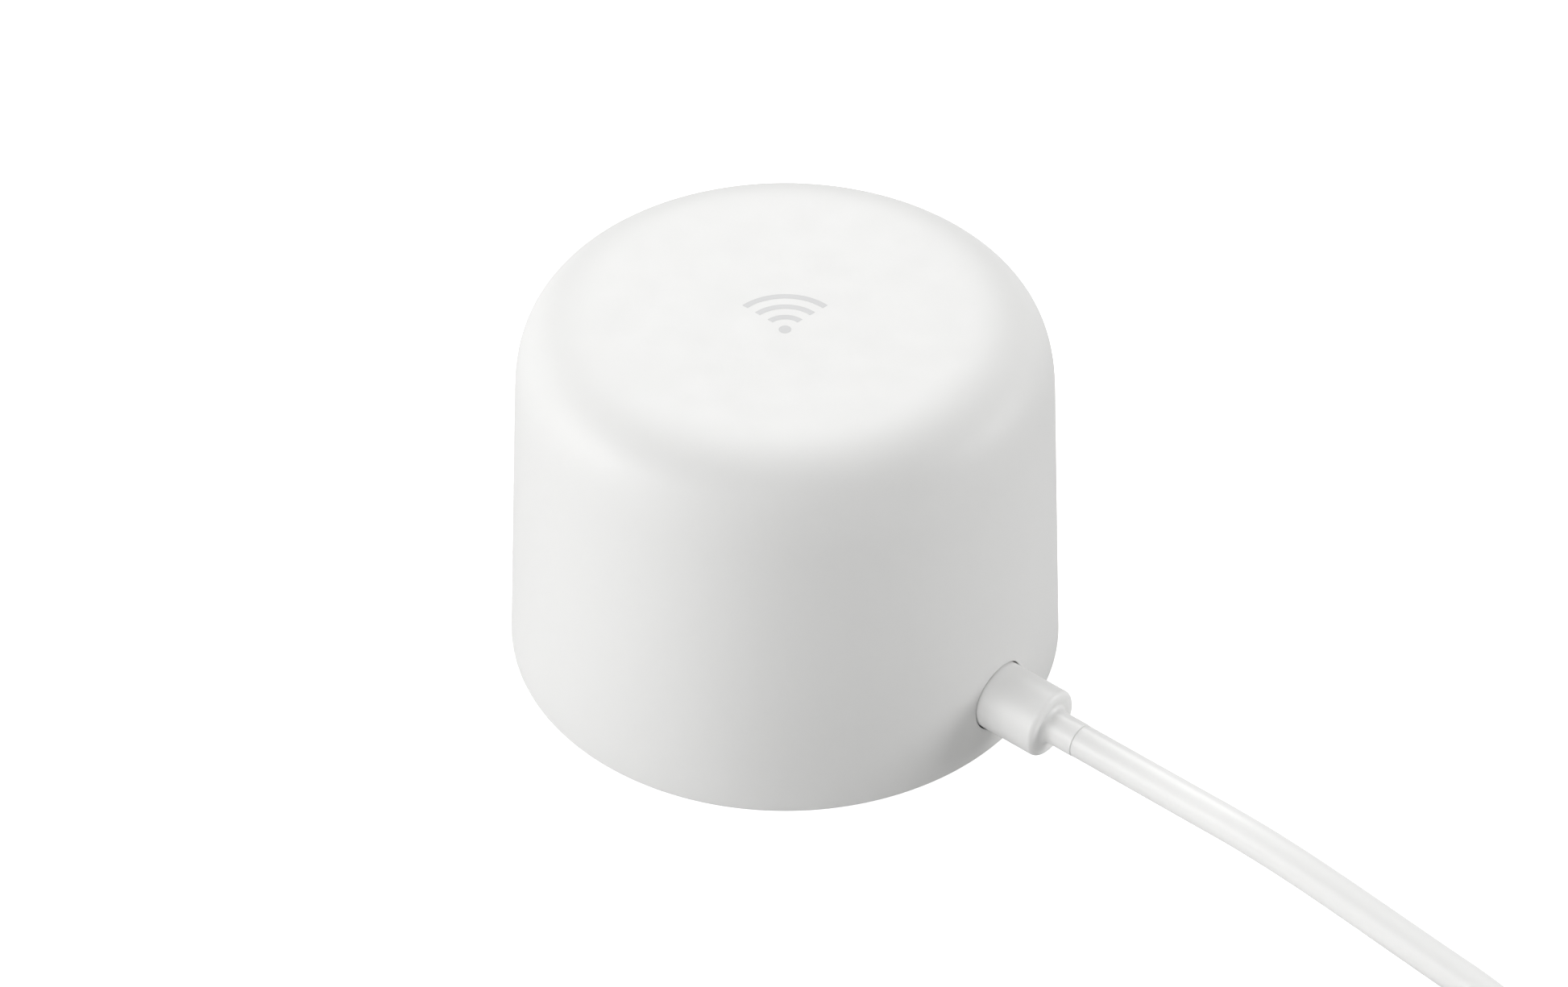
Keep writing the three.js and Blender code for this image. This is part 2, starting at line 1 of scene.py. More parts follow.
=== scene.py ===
"""Looks for a small round wireless router with its power lead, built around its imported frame.

Every length is in metres, in the frame's own axes: +Z up, the power plug along +X, the
network jack facing -X and the reset button facing +Y.
"""
from __future__ import annotations

import json
import logging
import math
from collections.abc import Callable, Iterable, Sequence
from dataclasses import dataclass
from enum import Enum

import bmesh
import bpy
import numpy as np
from mathutils import Matrix, Vector


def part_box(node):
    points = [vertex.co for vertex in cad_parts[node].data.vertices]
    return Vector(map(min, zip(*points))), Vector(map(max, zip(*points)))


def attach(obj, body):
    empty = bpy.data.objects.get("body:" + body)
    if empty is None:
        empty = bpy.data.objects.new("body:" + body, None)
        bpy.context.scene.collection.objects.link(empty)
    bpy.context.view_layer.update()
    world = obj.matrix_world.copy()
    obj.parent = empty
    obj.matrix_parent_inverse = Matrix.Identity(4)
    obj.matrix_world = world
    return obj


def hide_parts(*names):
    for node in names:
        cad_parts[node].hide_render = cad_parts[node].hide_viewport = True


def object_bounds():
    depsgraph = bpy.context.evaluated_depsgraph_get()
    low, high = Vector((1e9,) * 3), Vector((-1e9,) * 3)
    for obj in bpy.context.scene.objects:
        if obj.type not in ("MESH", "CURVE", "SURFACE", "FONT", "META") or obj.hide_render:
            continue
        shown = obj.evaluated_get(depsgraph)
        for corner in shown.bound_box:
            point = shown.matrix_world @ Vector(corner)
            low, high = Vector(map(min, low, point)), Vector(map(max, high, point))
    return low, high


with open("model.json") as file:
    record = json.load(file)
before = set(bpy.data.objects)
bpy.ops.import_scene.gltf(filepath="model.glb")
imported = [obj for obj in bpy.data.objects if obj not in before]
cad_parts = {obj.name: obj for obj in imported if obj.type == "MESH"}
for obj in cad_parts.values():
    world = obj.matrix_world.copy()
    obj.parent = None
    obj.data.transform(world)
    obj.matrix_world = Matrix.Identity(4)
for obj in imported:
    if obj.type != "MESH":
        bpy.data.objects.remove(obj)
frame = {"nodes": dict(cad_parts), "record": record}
CAD_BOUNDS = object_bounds()

LOG = logging.getLogger("router")
MM = 0.001
ROUTER, BUTTON, LEAD = "router", "reset_button", "lead"
SMOOTH_LIMIT = math.radians(32)
Point = tuple[float, float, float]


# ---- meshes -------------------------------------------------------------------------------
def new_piece(name: str, verts: np.ndarray | Sequence, faces: Iterable,
              material: bpy.types.Material | None = None) -> bpy.types.Object:
    """Makes a smooth-shaded object from points and faces.

    Args:
        name: The piece's name.
        verts: Its points, in the frame.
        faces: Tuples of point indices, seen anticlockwise from outside.
        material: Its finish, if it is known yet.

    Returns:
        The new object, at the origin.
    """
    mesh = bpy.data.meshes.new(name)
    mesh.from_pydata([tuple(map(float, v)) for v in verts], [], [tuple(f) for f in faces])
    mesh.validate()
    piece = bpy.data.objects.new(name, mesh)
    bpy.context.scene.collection.objects.link(piece)
    if material:
        mesh.materials.append(material)
    soften(piece)
    return piece


def soften(piece: bpy.types.Object, limit: float = SMOOTH_LIMIT) -> None:
    """Shades a piece smooth, with every edge sharper than limit kept sharp."""
    piece.data.polygons.foreach_set("use_smooth", [True] * len(piece.data.polygons))
    piece.data.set_sharp_from_angle(angle=limit)


def recalculate(piece: bpy.types.Object) -> None:
    """Merges doubles and points every face outwards."""
    work = bmesh.new()
    work.from_mesh(piece.data)
    bmesh.ops.remove_doubles(work, verts=work.verts, dist=1e-7)
    bmesh.ops.recalc_face_normals(work, faces=work.faces)
    work.to_mesh(piece.data)
    work.free()


def plain(piece: bpy.types.Object, limit: float = SMOOTH_LIMIT) -> bpy.types.Object:
    """Turns a piece's modifiers into a plain mesh and removes them.

    Args:
        piece: The object with its modifiers.
        limit: The angle past which an edge stays sharp.

    Returns:
        The same object.
    """
    bpy.context.view_layer.update()
    evaluated = piece.evaluated_get(bpy.context.evaluated_depsgraph_get())
    made = bpy.data.meshes.new_from_object(evaluated)
    piece.modifiers.clear()
    piece.data = made
    soften(piece, limit)
    return piece


def rounded(piece: bpy.types.Object, width: float, segments: int = 3,
            angle: float = 40) -> bpy.types.Object:
    """Rounds a piece's sharp edges.

    Args:
        piece: The piece.
        width: The rounding's size.
        segments: Steps across it.
        angle: Degrees past which an edge counts as sharp.

    Returns:
        The same object, as a plain mesh.
    """
    bevel = piece.modifiers.new("rounding", "BEVEL")
    bevel.width, bevel.segments = width, segments
    bevel.limit_method, bevel.angle_limit = "ANGLE", math.radians(angle)
    bevel.use_clamp_overlap = True
    return plain(piece)


def cut(piece: bpy.types.Object, cutters: Sequence[bpy.types.Object]) -> bpy.types.Object:
    """Cuts each cutter's shape out of a piece and deletes the cutters."""
    for cutter in cutters:
        saw = piece.modifiers.new("cut", "BOOLEAN")
        saw.operation, saw.solver, saw.object = "DIFFERENCE", "EXACT", cutter
    plain(piece)
    for cutter in cutters:
        bpy.data.objects.remove(cutter)
    return piece


def sheet_faces(rows: int, columns: int, close_columns: bool = True, close_rows: bool = False,
                start: int = 0) -> list[tuple[int, ...]]:
    """Quads over a grid of points listed row by row.

    Args:
        rows: Rows of points.
        columns: Points in each row.
        close_columns: Whether the last column joins the first.
        close_rows: Whether the last row joins the first.
        start: The index of the grid's first point.

    Returns:
        The faces, whose outside is on the left of the way the columns run with rows going up.
    """
    faces = []
    for i in range(rows if close_rows else rows - 1):
        for j in range(columns if close_columns else columns - 1):
            k, up = (j + 1) % columns, (i + 1) % rows
            faces.append((start + i * columns + j, start + i * columns + k,
                          start + up * columns + k, start + up * columns + j))
    return faces


class Axis(Enum):
    """The direction that a turned piece's axis takes."""

    X = Matrix.Rotation(math.radians(90), 4, "Y")
    Y = Matrix.Rotation(math.radians(-90), 4, "X")
    Z = Matrix.Identity(4)
    MINUS_X = Matrix.Rotation(math.radians(-90), 4, "Y")


def turned(name: str, profile: Sequence[tuple[float, float]], origin: Point = (0, 0, 0),
           axis: Axis = Axis.Z, sides: int = 96) -> bpy.types.Object:
    """Turns a profile into a closed round piece.

    Args:
        name: The piece's name.
        profile: (radius, distance along the axis) from one end to the other. A profile that
            starts and ends off the axis closes on itself, as a ring's does.
        origin: Where the axis starts.
        axis: Where it points.
        sides: Steps round it.

    Returns:
        The new object.
    """
    turn = np.linspace(0, 2 * math.pi, sides, endpoint=False)
    verts, rows = [], []
    for radius, along in profile:
        if radius < 1e-9:
            rows.append([len(verts)])
            verts.append((0.0, 0.0, along))
        else:
            rows.append(list(range(len(verts), len(verts) + sides)))
            verts += [(radius * math.cos(t), radius * math.sin(t), along) for t in turn]
    faces: list[tuple[int, ...]] = []
    pairs = list(zip(rows, rows[1:]))
    if len(rows[0]) > 1 and len(rows[-1]) > 1:
        pairs.append((rows[-1], rows[0]))
    for low, high in pairs:
        for j in range(sides):
            k = (j + 1) % sides
            if len(low) == 1:
                faces.append((low[0], high[k], high[j]))
            elif len(high) == 1:
                faces.append((low[j], low[k], high[0]))
            else:
                faces.append((low[j], low[k], high[k], high[j]))
    piece = new_piece(name, verts, faces)
    piece.data.transform(Matrix.Translation(Vector(origin)) @ axis.value)
    recalculate(piece)
    soften(piece)
    return piece


def fillet(centre: tuple[float, float], radius: float, start: float, end: float,
           steps: int = 5) -> list[tuple[float, float]]:
    """Points along a rounded corner of a profile, from one angle to another in degrees."""
    angles = np.radians(np.linspace(start, end, steps + 1))
    return [(centre[0] + radius * math.cos(a), centre[1] + radius * math.sin(a))
            for a in angles]


def block(name: str, low: Point, high: Point) -> bpy.types.Object:
    """A rectangular solid between two corners, to be cut or rounded."""
    work = bmesh.new()
    size = Vector(high) - Vector(low)
    middle = (Vector(high) + Vector(low)) / 2
    bmesh.ops.create_cube(work, size=1,
                          matrix=Matrix.Translation(middle) @ Matrix.Diagonal((*size, 1)))
    mesh = bpy.data.meshes.new(name)
    work.to_mesh(mesh)
    work.free()
    piece = bpy.data.objects.new(name, mesh)
    bpy.context.scene.collection.objects.link(piece)
    return piece


def slot_outline(width: float, height: float, steps: int = 12) -> list[tuple[float, float]]:
    """A slot-shaped outline with round ends, anticlockwise."""
    half, radius = (width - height) / 2, height / 2
    right = fillet((half, 0), radius, -90, 90, steps)
    return right + fillet((-half, 0), radius, 90, 270, steps)


def lofted(name: str, sections: Sequence[tuple[float, Sequence[tuple[float, float]]]],
           hollow: Sequence[tuple[float, Sequence[tuple[float, float]]]] = ()
           ) -> bpy.types.Object:
    """A piece lofted along +X through outlines in the YZ plane.

    Args:
        name: The piece's name.
        sections: (x, outline) pairs in order of x; all outlines have as many points.
        hollow: More sections that go on from the last one, back along the inside.

    Returns:
        The closed object.
    """
    rows = [*sections, *hollow]
    count = len(rows[0][1])
    verts = [(x, y, z) for x, outline in rows for y, z in outline]
    faces = sheet_faces(len(rows), count)
    last = (len(rows) - 1) * count
    faces += [tuple(reversed(range(count))), tuple(range(last, last + count))]
    piece = new_piece(name, verts, faces)
    recalculate(piece)
    soften(piece)
    return piece


def shrunk(outline: Sequence[tuple[float, float]], by: float) -> list[tuple[float, float]]:
    """A round-ended slot outline moved inwards by a distance."""
    height = max(z for _, z in outline) * 2
    width = max(y for y, _ in outline) * 2
    steps = len(outline) // 2 - 1
    return slot_outline(width - 2 * by, height - 2 * by, steps)


# ---- node patterns ------------------------------------------------------------------------
class Layout(Enum):
    """How a repeated shape is laid out."""

    LINE = "line"
    CIRCLE = "circle"


class Repeater:
    """A Geometry Nodes tree that sets copies of a shape along a line or round a circle."""

    def __init__(self, layout: Layout) -> None:
        """Builds the tree for one layout."""
        self.tree = bpy.data.node_groups.new(f"repeat_{layout.value}", "GeometryNodeTree")
        self.tree.interface.new_socket("Geometry", in_out="OUTPUT",
                                       socket_type="NodeSocketGeometry")
        inputs = [("Shape", "NodeSocketObject"), ("Count", "NodeSocketInt"),
                  ("Start", "NodeSocketVector"), ("Finish", "NodeSocketMaterial")]
        if layout is Layout.LINE:
            inputs.append(("Step", "NodeSocketVector"))
        else:
            inputs += [("Radius", "NodeSocketFloat"), ("Turn", "NodeSocketFloat")]
        self.sockets = {
            name: self.tree.interface.new_socket(name, in_out="INPUT", socket_type=kind)
            for name, kind in inputs
        }
        self._wire(layout)

    def _node(self, kind: str, **settings: object) -> bpy.types.Node:
        """Adds a node with its settings."""
        node = self.tree.nodes.new(kind)
        for key, value in settings.items():
            setattr(node, key, value)
        return node

    def _wire(self, layout: Layout) -> None:
        """Adds and joins the nodes of a layout."""
        join = self.tree.links.new
        given = self._node("NodeGroupInput").outputs
        shape = self._node("GeometryNodeObjectInfo", transform_space="ORIGINAL")
        join(given["Shape"], shape.inputs["Object"])
        copies = self._node("GeometryNodeInstanceOnPoints")
        join(shape.outputs["Geometry"], copies.inputs["Instance"])
        moved = self._node("GeometryNodeTransform")
        if layout is Layout.LINE:
            points = self._node("GeometryNodeMeshLine", mode="OFFSET")
            join(given["Count"], points.inputs["Count"])
            join(given["Step"], points.inputs["Offset"])
            join(points.outputs["Mesh"], copies.inputs["Points"])
        else:
            points = self._node("GeometryNodeMeshCircle")
            join(given["Count"], points.inputs["Vertices"])
            join(given["Radius"], points.inputs["Radius"])
            join(points.outputs["Mesh"], copies.inputs["Points"])
            spin = self._node("ShaderNodeCombineXYZ")
            join(given["Turn"], spin.inputs["Z"])
            join(spin.outputs["Vector"], moved.inputs["Rotation"])
            place = self._node("GeometryNodeInputPosition")
            facing = self._node("FunctionNodeAlignRotationToVector", axis="X", pivot_axis="Z")
            join(place.outputs["Position"], facing.inputs["Vector"])
            join(facing.outputs["Rotation"], copies.inputs["Rotation"])
        join(given["Start"], moved.inputs["Translation"])
        join(copies.outputs["Instances"], moved.inputs["Geometry"])
        real = self._node("GeometryNodeRealizeInstances")
        join(moved.outputs["Geometry"], real.inputs["Geometry"])
        dressed = self._node("GeometryNodeSetMaterial")
        join(real.outputs["Geometry"], dressed.inputs["Geometry"])
        join(given["Finish"], dressed.inputs["Material"])
        join(dressed.outputs["Geometry"], self._node("NodeGroupOutput").inputs["Geometry"])

    def make(self, name: str, shape: bpy.types.Object, **values: object) -> bpy.types.Object:
        """Sets out copies of a shape as one plain mesh.

        Args:
            name: The new piece's name.
            shape: What is repeated. It is deleted afterwards.
            **values: The tree's other inputs, by name.

        Returns:
            The new object, without its modifier.
        """
        piece = bpy.data.objects.new(name, bpy.data.meshes.new(name))
        bpy.context.scene.collection.objects.link(piece)
        pattern = piece.modifiers.new("pattern", "NODES")
        pattern.node_group = self.tree
        for key, value in {"Shape": shape, **values}.items():
            pattern[self.sockets[key].identifier] = value
        plain(piece)
        bpy.data.objects.remove(shape)
        return piece


# ---- finishes -----------------------------------------------------------------------------
@dataclass(frozen=True)
class Finish:
    """A moulded or plain surface: its colour, gloss, fine grain and slight unevenness."""

    name: str
    colour: tuple[float, float, float]
    roughness: float = 0.5
    metallic: float = 0.0
    specular: float = 0.5
    coat: float = 0.0
    subsurface: float = 0.0
    grain: float = 5200.0
    relief: float = 0.02
    mottle: float = 0.015
    stretch: Point = (1.0, 1.0, 1.0)

    def build(self) -> bpy.types.Material:
        """Makes the material and its nodes."""
        material = bpy.data.materials.new(self.name)
        material.use_nodes = True
        material.diffuse_color = (*self.colour, 1)
        nodes, join = material.node_tree.nodes, material.node_tree.links.new
        shader = nodes["Principled BSDF"]
        for socket, value in (("Metallic", self.metallic), ("Coat Weight", self.coat),
                              ("Specular IOR Level", self.specular),
                              ("Subsurface Weight", self.subsurface)):
            shader.inputs[socket].default_value = value
        if self.subsurface:
            shader.inputs["Subsurface Radius"].default_value = (1, 0.95, 0.9)
            shader.inputs["Subsurface Scale"].default_value = 1.2 * MM
        place = nodes.new("ShaderNodeMapping")
        place.inputs["Scale"].default_value = self.stretch
        join(nodes.new("ShaderNodeTexCoord").outputs["Object"], place.inputs["Vector"])
        self.surface(material, shader, place.outputs["Vector"])
        return material

    def noise(self, material: bpy.types.Material, where: bpy.types.NodeSocket, scale: float,
              detail: float = 3) -> bpy.types.NodeSocket:
        """Adds a noise texture over a set of coordinates and returns its value."""
        noise = material.node_tree.nodes.new("ShaderNodeTexNoise")
        noise.inputs["Scale"].default_value = scale
        noise.inputs["Detail"].default_value = detail
        material.node_tree.links.new(where, noise.inputs["Vector"])
        return noise.outputs["Fac"]

    def span(self, material: bpy.types.Material, value: bpy.types.NodeSocket, low: float,
             high: float) -> bpy.types.NodeSocket:
        """Maps a 0 to 1 value on to a range."""
        node = material.node_tree.nodes.new("ShaderNodeMapRange")
        node.inputs["From Min"].default_value, node.inputs["From Max"].default_value = 0.3, 0.7
        node.inputs["To Min"].default_value, node.inputs["To Max"].default_value = low, high
        material.node_tree.links.new(value, node.inputs["Value"])
        return node.outputs["Result"]

    def tint(self, material: bpy.types.Material, value: bpy.types.NodeSocket,
             first: Sequence[float], second: Sequence[float]) -> bpy.types.NodeSocket:
        """Mixes two colours by a value."""
        node = material.node_tree.nodes.new("ShaderNodeMix")
        node.data_type = "RGBA"
        node.inputs["A"].default_value = (*first, 1)
        node.inputs["B"].default_value = (*second, 1)
        material.node_tree.links.new(value, node.inputs["Factor"])
        return node.outputs["Result"]

    def relieve(self, material: bpy.types.Material, shader: bpy.types.Node,
                height: bpy.types.NodeSocket, depth: float) -> None:
        """Gives the surface a fine relief from a height."""
        bump = material.node_tree.nodes.new("ShaderNodeBump")
        bump.inputs["Distance"].default_value = depth
        material.node_tree.links.new(height, bump.inputs["Height"])
        material.node_tree.links.new(bump.outputs["Normal"], shader.inputs["Normal"])

    def surface(self, material: bpy.types.Material, shader: bpy.types.Node,
                where: bpy.types.NodeSocket) -> None:
        """Wires colour, gloss and relief: a fine grain with a slow, slight unevenness."""
        join = material.node_tree.links.new
        slow = self.noise(material, where, 60)
        shade = [c * (1 - self.mottle) for c in self.colour]
        join(self.tint(material, slow, shade, self.colour), shader.inputs["Base Color"])
        rough = self.span(material, self.noise(material, where, 210),
                          self.roughness - 0.025, self.roughness + 0.025)
        join(rough, shader.inputs["Roughness"])
        self.relieve(material, shader, self.noise(material, where, self.grain),
                     self.relief * MM)


@dataclass(frozen=True)
class BoardFinish(Finish):
    """A circuit board: solder mask with paler tracks and tinned pads under it."""

    track: tuple[float, float, float] = (0.10, 0.36, 0.22)

    def surface(self, material: bpy.types.Material, shader: bpy.types.Node,
                where: bpy.types.NodeSocket) -> None:
        """Wires a brick pattern of tracks over the mask."""
        nodes, join = material.node_tree.nodes, material.node_tree.links.new
        tracks = nodes.new("ShaderNodeTexBrick")
        tracks.inputs["Scale"].default_value = 160
        tracks.inputs["Mortar Size"].default_value = 0.03
        tracks.inputs["Color1"].default_value = (0, 0, 0, 1)
        tracks.inputs["Color2"].default_value = (0, 0, 0, 1)
        tracks.inputs["Mortar"].default_value = (1, 1, 1, 1)
        join(where, tracks.inputs["Vector"])
        colour = self.tint(material, tracks.outputs["Color"], self.colour, self.track)
        join(colour, shader.inputs["Base Color"])
        shader.inputs["Roughness"].default_value = self.roughness
        self.relieve(material, shader, tracks.outputs["Color"], 0.03 * MM)


@dataclass(frozen=True)
class StrapFinish(Finish):
    """A woven strap, with its threads crossing along its UV map."""

    threads: float = 1.0

    def surface(self, material: bpy.types.Material, shader: bpy.types.Node,
                where: bpy.types.NodeSocket) -> None:
        """Wires crossed waves for the weave and a fuzz of noise over them."""
        nodes, join = material.node_tree.nodes, material.node_tree.links.new
        waves = []
        for direction in ("X", "Y"):
            wave = nodes.new("ShaderNodeTexWave")
            wave.bands_direction = direction
            wave.inputs["Scale"].default_value = self.threads
            join(nodes.new("ShaderNodeTexCoord").outputs["UV"], wave.inputs["Vector"])
            waves.append(wave.outputs["Fac"])
        weave = nodes.new("ShaderNodeMath")
        weave.operation = "MULTIPLY"
        join(waves[0], weave.inputs[0])
        join(waves[1], weave.inputs[1])
        pale = [min(1, c * 2.2 + 0.01) for c in self.colour]
        join(self.tint(material, weave.outputs["Value"], self.colour, pale),
             shader.inputs["Base Color"])
        shader.inputs["Roughness"].default_value = self.roughness
        shader.inputs["Sheen Weight"].default_value = 0.4
        self.relieve(material, shader, weave.outputs["Value"], 0.12 * MM)


@dataclass(frozen=True)
class CordFinish(Finish):
    """A smooth soft jacket with faint drawing lines along it, laid out on its UV map."""

    def surface(self, material: bpy.types.Material, shader: bpy.types.Node,
                where: bpy.types.NodeSocket) -> None:
        """Wires long thin streaks along the jacket and a slow unevenness."""
        nodes, join = material.node_tree.nodes, material.node_tree.links.new
        along = nodes.new("ShaderNodeMapping")
        along.inputs["Scale"].default_value = (260, 0.6, 1)
        join(nodes.new("ShaderNodeTexCoord").outputs["UV"], along.inputs["Vector"])
        streaks = self.noise(material, along.outputs["Vector"], 1.0, 2)
        shade = [c * (1 - self.mottle) for c in self.colour]
        join(self.tint(material, streaks, shade, self.colour), shader.inputs["Base Color"])
        rough = self.span(material, self.noise(material, where, 300),
                          self.roughness - 0.03, self.roughness + 0.04)
        join(rough, shader.inputs["Roughness"])
        self.relieve(material, shader, streaks, self.relief * MM)


FINISHES: dict[str, Finish] = {
    "cover": Finish("satin_white", (0.80, 0.80, 0.79), 0.5, subsurface=0.05, grain=4200,
                    relief=0.012, mottle=0.008),
    "base": Finish("textured_white", (0.76, 0.76, 0.75), 0.6, grain=2600, relief=0.05),
    "foot": Finish("silicone_grey", (0.24, 0.245, 0.25), 0.78, grain=1800, relief=0.05),
    "steel": Finish("plated_steel", (0.62, 0.63, 0.65), 0.3, 1.0, stretch=(1, 1, 6)),
    "board": BoardFinish("green_board", (0.02, 0.14, 0.07), 0.42),
    "tin": Finish("tinned_sheet", (0.66, 0.67, 0.68), 0.34, 1.0, stretch=(8, 1, 1),
                  grain=900),
    "black_plastic": Finish("black_plastic", (0.018, 0.018, 0.02), 0.5, relief=0.03),
    "chip": Finish("moulded_epoxy", (0.03, 0.03, 0.032), 0.62, relief=0.03, mottle=0.1),
    "contact_gold": Finish("gold_plate", (0.83, 0.61, 0.24), 0.24, 1.0),
    "antenna_metal": Finish("antenna_plate", (0.76, 0.62, 0.38), 0.34, 1.0,
                            stretch=(1, 1, 9), grain=700),
    "thermal_pad": Finish("heat_pad", (0.33, 0.42, 0.52), 0.85, relief=0.05, mottle=0.06),
    "heatsink": Finish("extruded_aluminium", (0.68, 0.69, 0.70), 0.38, 1.0,
                       stretch=(0.1, 4, 4), grain=800, relief=0.02),
    "can": Finish("drawn_can", (0.74, 0.75, 0.76), 0.25, 1.0),
    "carrier": Finish("grey_plastic", (0.55, 0.56, 0.57), 0.55, relief=0.04),
    "coax": Finish("cable_black", (0.02, 0.02, 0.02), 0.45),
    "ribbon": Finish("cable_pale", (0.68, 0.68, 0.66), 0.5),
    "light": Finish("milky_guide", (0.86, 0.87, 0.88), 0.3, subsurface=0.4),
    "button": Finish("button_white", (0.76, 0.76, 0.75), 0.45, grain=3600),
    "plug": Finish("overmould_white", (0.91, 0.91, 0.90), 0.38, subsurface=0.05, grain=4600,
                   relief=0.01, mottle=0.008),
    "plug_metal": Finish("nickel_tip", (0.70, 0.69, 0.67), 0.22, 1.0, stretch=(6, 1, 1)),
    "cord": CordFinish("cord_white", (0.89, 0.89, 0.88), 0.4, coat=0.15, subsurface=0.05,
                       relief=0.008, mottle=0.012),
    "tie": StrapFinish("woven_strap", (0.025, 0.025, 0.027), 0.9, threads=3.0),
}
MARK_FINISH = Finish("printed_grey", (0.62, 0.622, 0.624), 0.5, grain=5000, relief=0.01)


class Wardrobe:
    """Every finish as a material, made once and asked for by the record's slot."""

    def __init__(self) -> None:
        """Builds the materials."""
        self.materials = {slot: finish.build() for slot, finish in FINISHES.items()}
        self.mark = MARK_FINISH.build()

    def dress(self, piece: bpy.types.Object, slot: str) -> None:
        """Gives a piece the one material of a slot."""
        piece.data.materials.clear()
        piece.data.materials.append(self.materials[slot])

    def fit(self, piece: bpy.types.Object, slot: str, body: str, *nodes: str) -> None:
        """Finishes a visual piece: its material, the body it rides on and what it stands for.

        Args:
            piece: The piece, in place.
            slot: The record's material slot.
            body: The body it moves with.
            *nodes: The frame's nodes that it replaces.
        """
        if not piece.data.materials:
            self.dress(piece, slot)
        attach(piece, body)
        if nodes:
            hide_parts(*nodes)
        LOG.info("%s rides on %s: %d faces", piece.name, body, len(piece.data.polygons))

    def dress_frame(self) -> None:
        """Gives each of the frame's own nodes the finish of its slot."""
        for entry in frame["record"]["subparts"]:
            self.dress(frame["nodes"][entry["node"]], entry["material_slot"])


# ---- view and light -----------------------------------------------------------------------
@dataclass
class Studio:
    """The camera, the soft lights and the pale floor."""

    azimuth: float = math.radians(40.42)
    elevation: float = math.radians(39.69)
    distance: float = 0.480
    target_height: float = 28.15 * MM
    rise: float = 3.36 * MM
    across: float = 0.14 * MM
    lens: float = 78.1
    floor_size: float = 6.0
    light_distance: float = 1.2
    surroundings: float = 0.25

    def directions(self) -> tuple[Vector, Vector, Vector]:
        """The unit vectors from the object back to the camera, to its right and up."""
        a, e = self.azimuth, self.elevation
        back = Vector((math.sin(a) * math.cos(e), -math.cos(a) * math.cos(e), math.sin(e)))
        right = Vector((math.cos(a), math.sin(a), 0))
        return back, right, back.cross(right)

    def place_camera(self) -> None:
        """Sets the camera, aimed a little under the object's middle."""
        back, right, up = self.directions()
        middle = Vector((0, 0, self.target_height))
        data = bpy.data.cameras.new("camera")
        data.lens, data.sensor_width, data.clip_start = self.lens, 36, 0.01
        camera = bpy.data.objects.new("camera", data)
        camera.location = middle + back * self.distance
        aim = middle - up * self.rise - right * self.across - camera.location
        camera.rotation_euler = aim.to_track_quat("-Z", "Y").to_euler()
        bpy.context.scene.collection.objects.link(camera)
        bpy.context.scene.camera = camera

    def soft_light(self, name: str, bearing: float, climb: float, size: float,
                   power: float) -> None:
        """Adds a square soft light that faces the object.

        Args:
            name: The light's name.
            bearing: Its bearing in degrees: 0 beside the camera, 90 to its right.
            climb: Its height as an angle in degrees.
            size: Its side.
            power: Its power in watts.
        """
        turn = self.azimuth - math.pi / 2 + math.radians(bearing)
        rise = math.radians(climb)
        spot = Vector((math.cos(turn) * math.cos(rise), math.sin(turn) * math.cos(rise),
                       math.sin(rise)))
        data = bpy.data.lights.new(name, "AREA")
        data.size, data.energy = size, power
        light = bpy.data.objects.new(name, data)
        light.location = spot * self.light_distance + Vector((0, 0, self.target_height))
        light.rotation_euler = (-spot).to_track_quat("-Z", "Y").to_euler()
        bpy.context.scene.collection.objects.link(light)

    def light(self) -> None:
        """Sets the soft lights, most of them on the left, and the pale surroundings."""
        self.soft_light("left", bearing=-60, climb=20, size=0.8, power=2.5)
        self.soft_light("low_left", bearing=-80, climb=12, size=0.8, power=7.5)
        self.soft_light("front_left", bearing=-22, climb=30, size=0.8, power=3.5)
        self.soft_light("back", bearing=180, climb=40, size=0.6, power=5.5)
        self.soft_light("high_back", bearing=-160, climb=55, size=0.6, power=3)
        self.soft_light("right", bearing=92, climb=18, size=0.6, power=6.5)
        world = bpy.data.worlds.new("surroundings")
        world.use_nodes = True
        nodes, join = world.node_tree.nodes, world.node_tree.links.new
        shown = nodes.new("ShaderNodeLightPath").outputs["Is Camera Ray"]
        strength = nodes.new("ShaderNodeMapRange")
        strength.inputs["To Min"].default_value = self.surroundings
        strength.inputs["To Max"].default_value = 1.0
        join(shown, strength.inputs["Value"])
        join(strength.outputs["Result"], nodes["Background"].inputs["Strength"])
        nodes["Background"].inputs["Color"].default_value = (1, 1, 1, 1)
        bpy.context.scene.world = world
        bpy.context.scene.view_settings.view_transform = "Standard"

    def lay_floor(self) -> None:
        """Lays the plain pale floor."""
        half = self.floor_size / 2
        low = CAD_BOUNDS[0][2]
        floor = new_piece("floor", [(-half, -half, low), (half, -half, low),
                                    (half, half, low), (-half, half, low)], [(0, 1, 2, 3)])
        material = bpy.data.materials.new("pale_floor")
        material.use_nodes = True
        nodes = material.node_tree.nodes
        shader = nodes["Principled BSDF"]
        for socket, value in (("Base Color", (0.6, 0.6, 0.6, 1)), ("Roughness", 1.0),
                              ("Specular IOR Level", 0.0),
                              ("Emission Color", (1, 1, 1, 1))):
            shader.inputs[socket].default_value = value
        shown = nodes.new("ShaderNodeLightPath").outputs["Is Camera Ray"]
        material.node_tree.links.new(shown, shader.inputs["Emission Strength"])
        floor.data.materials.append(material)


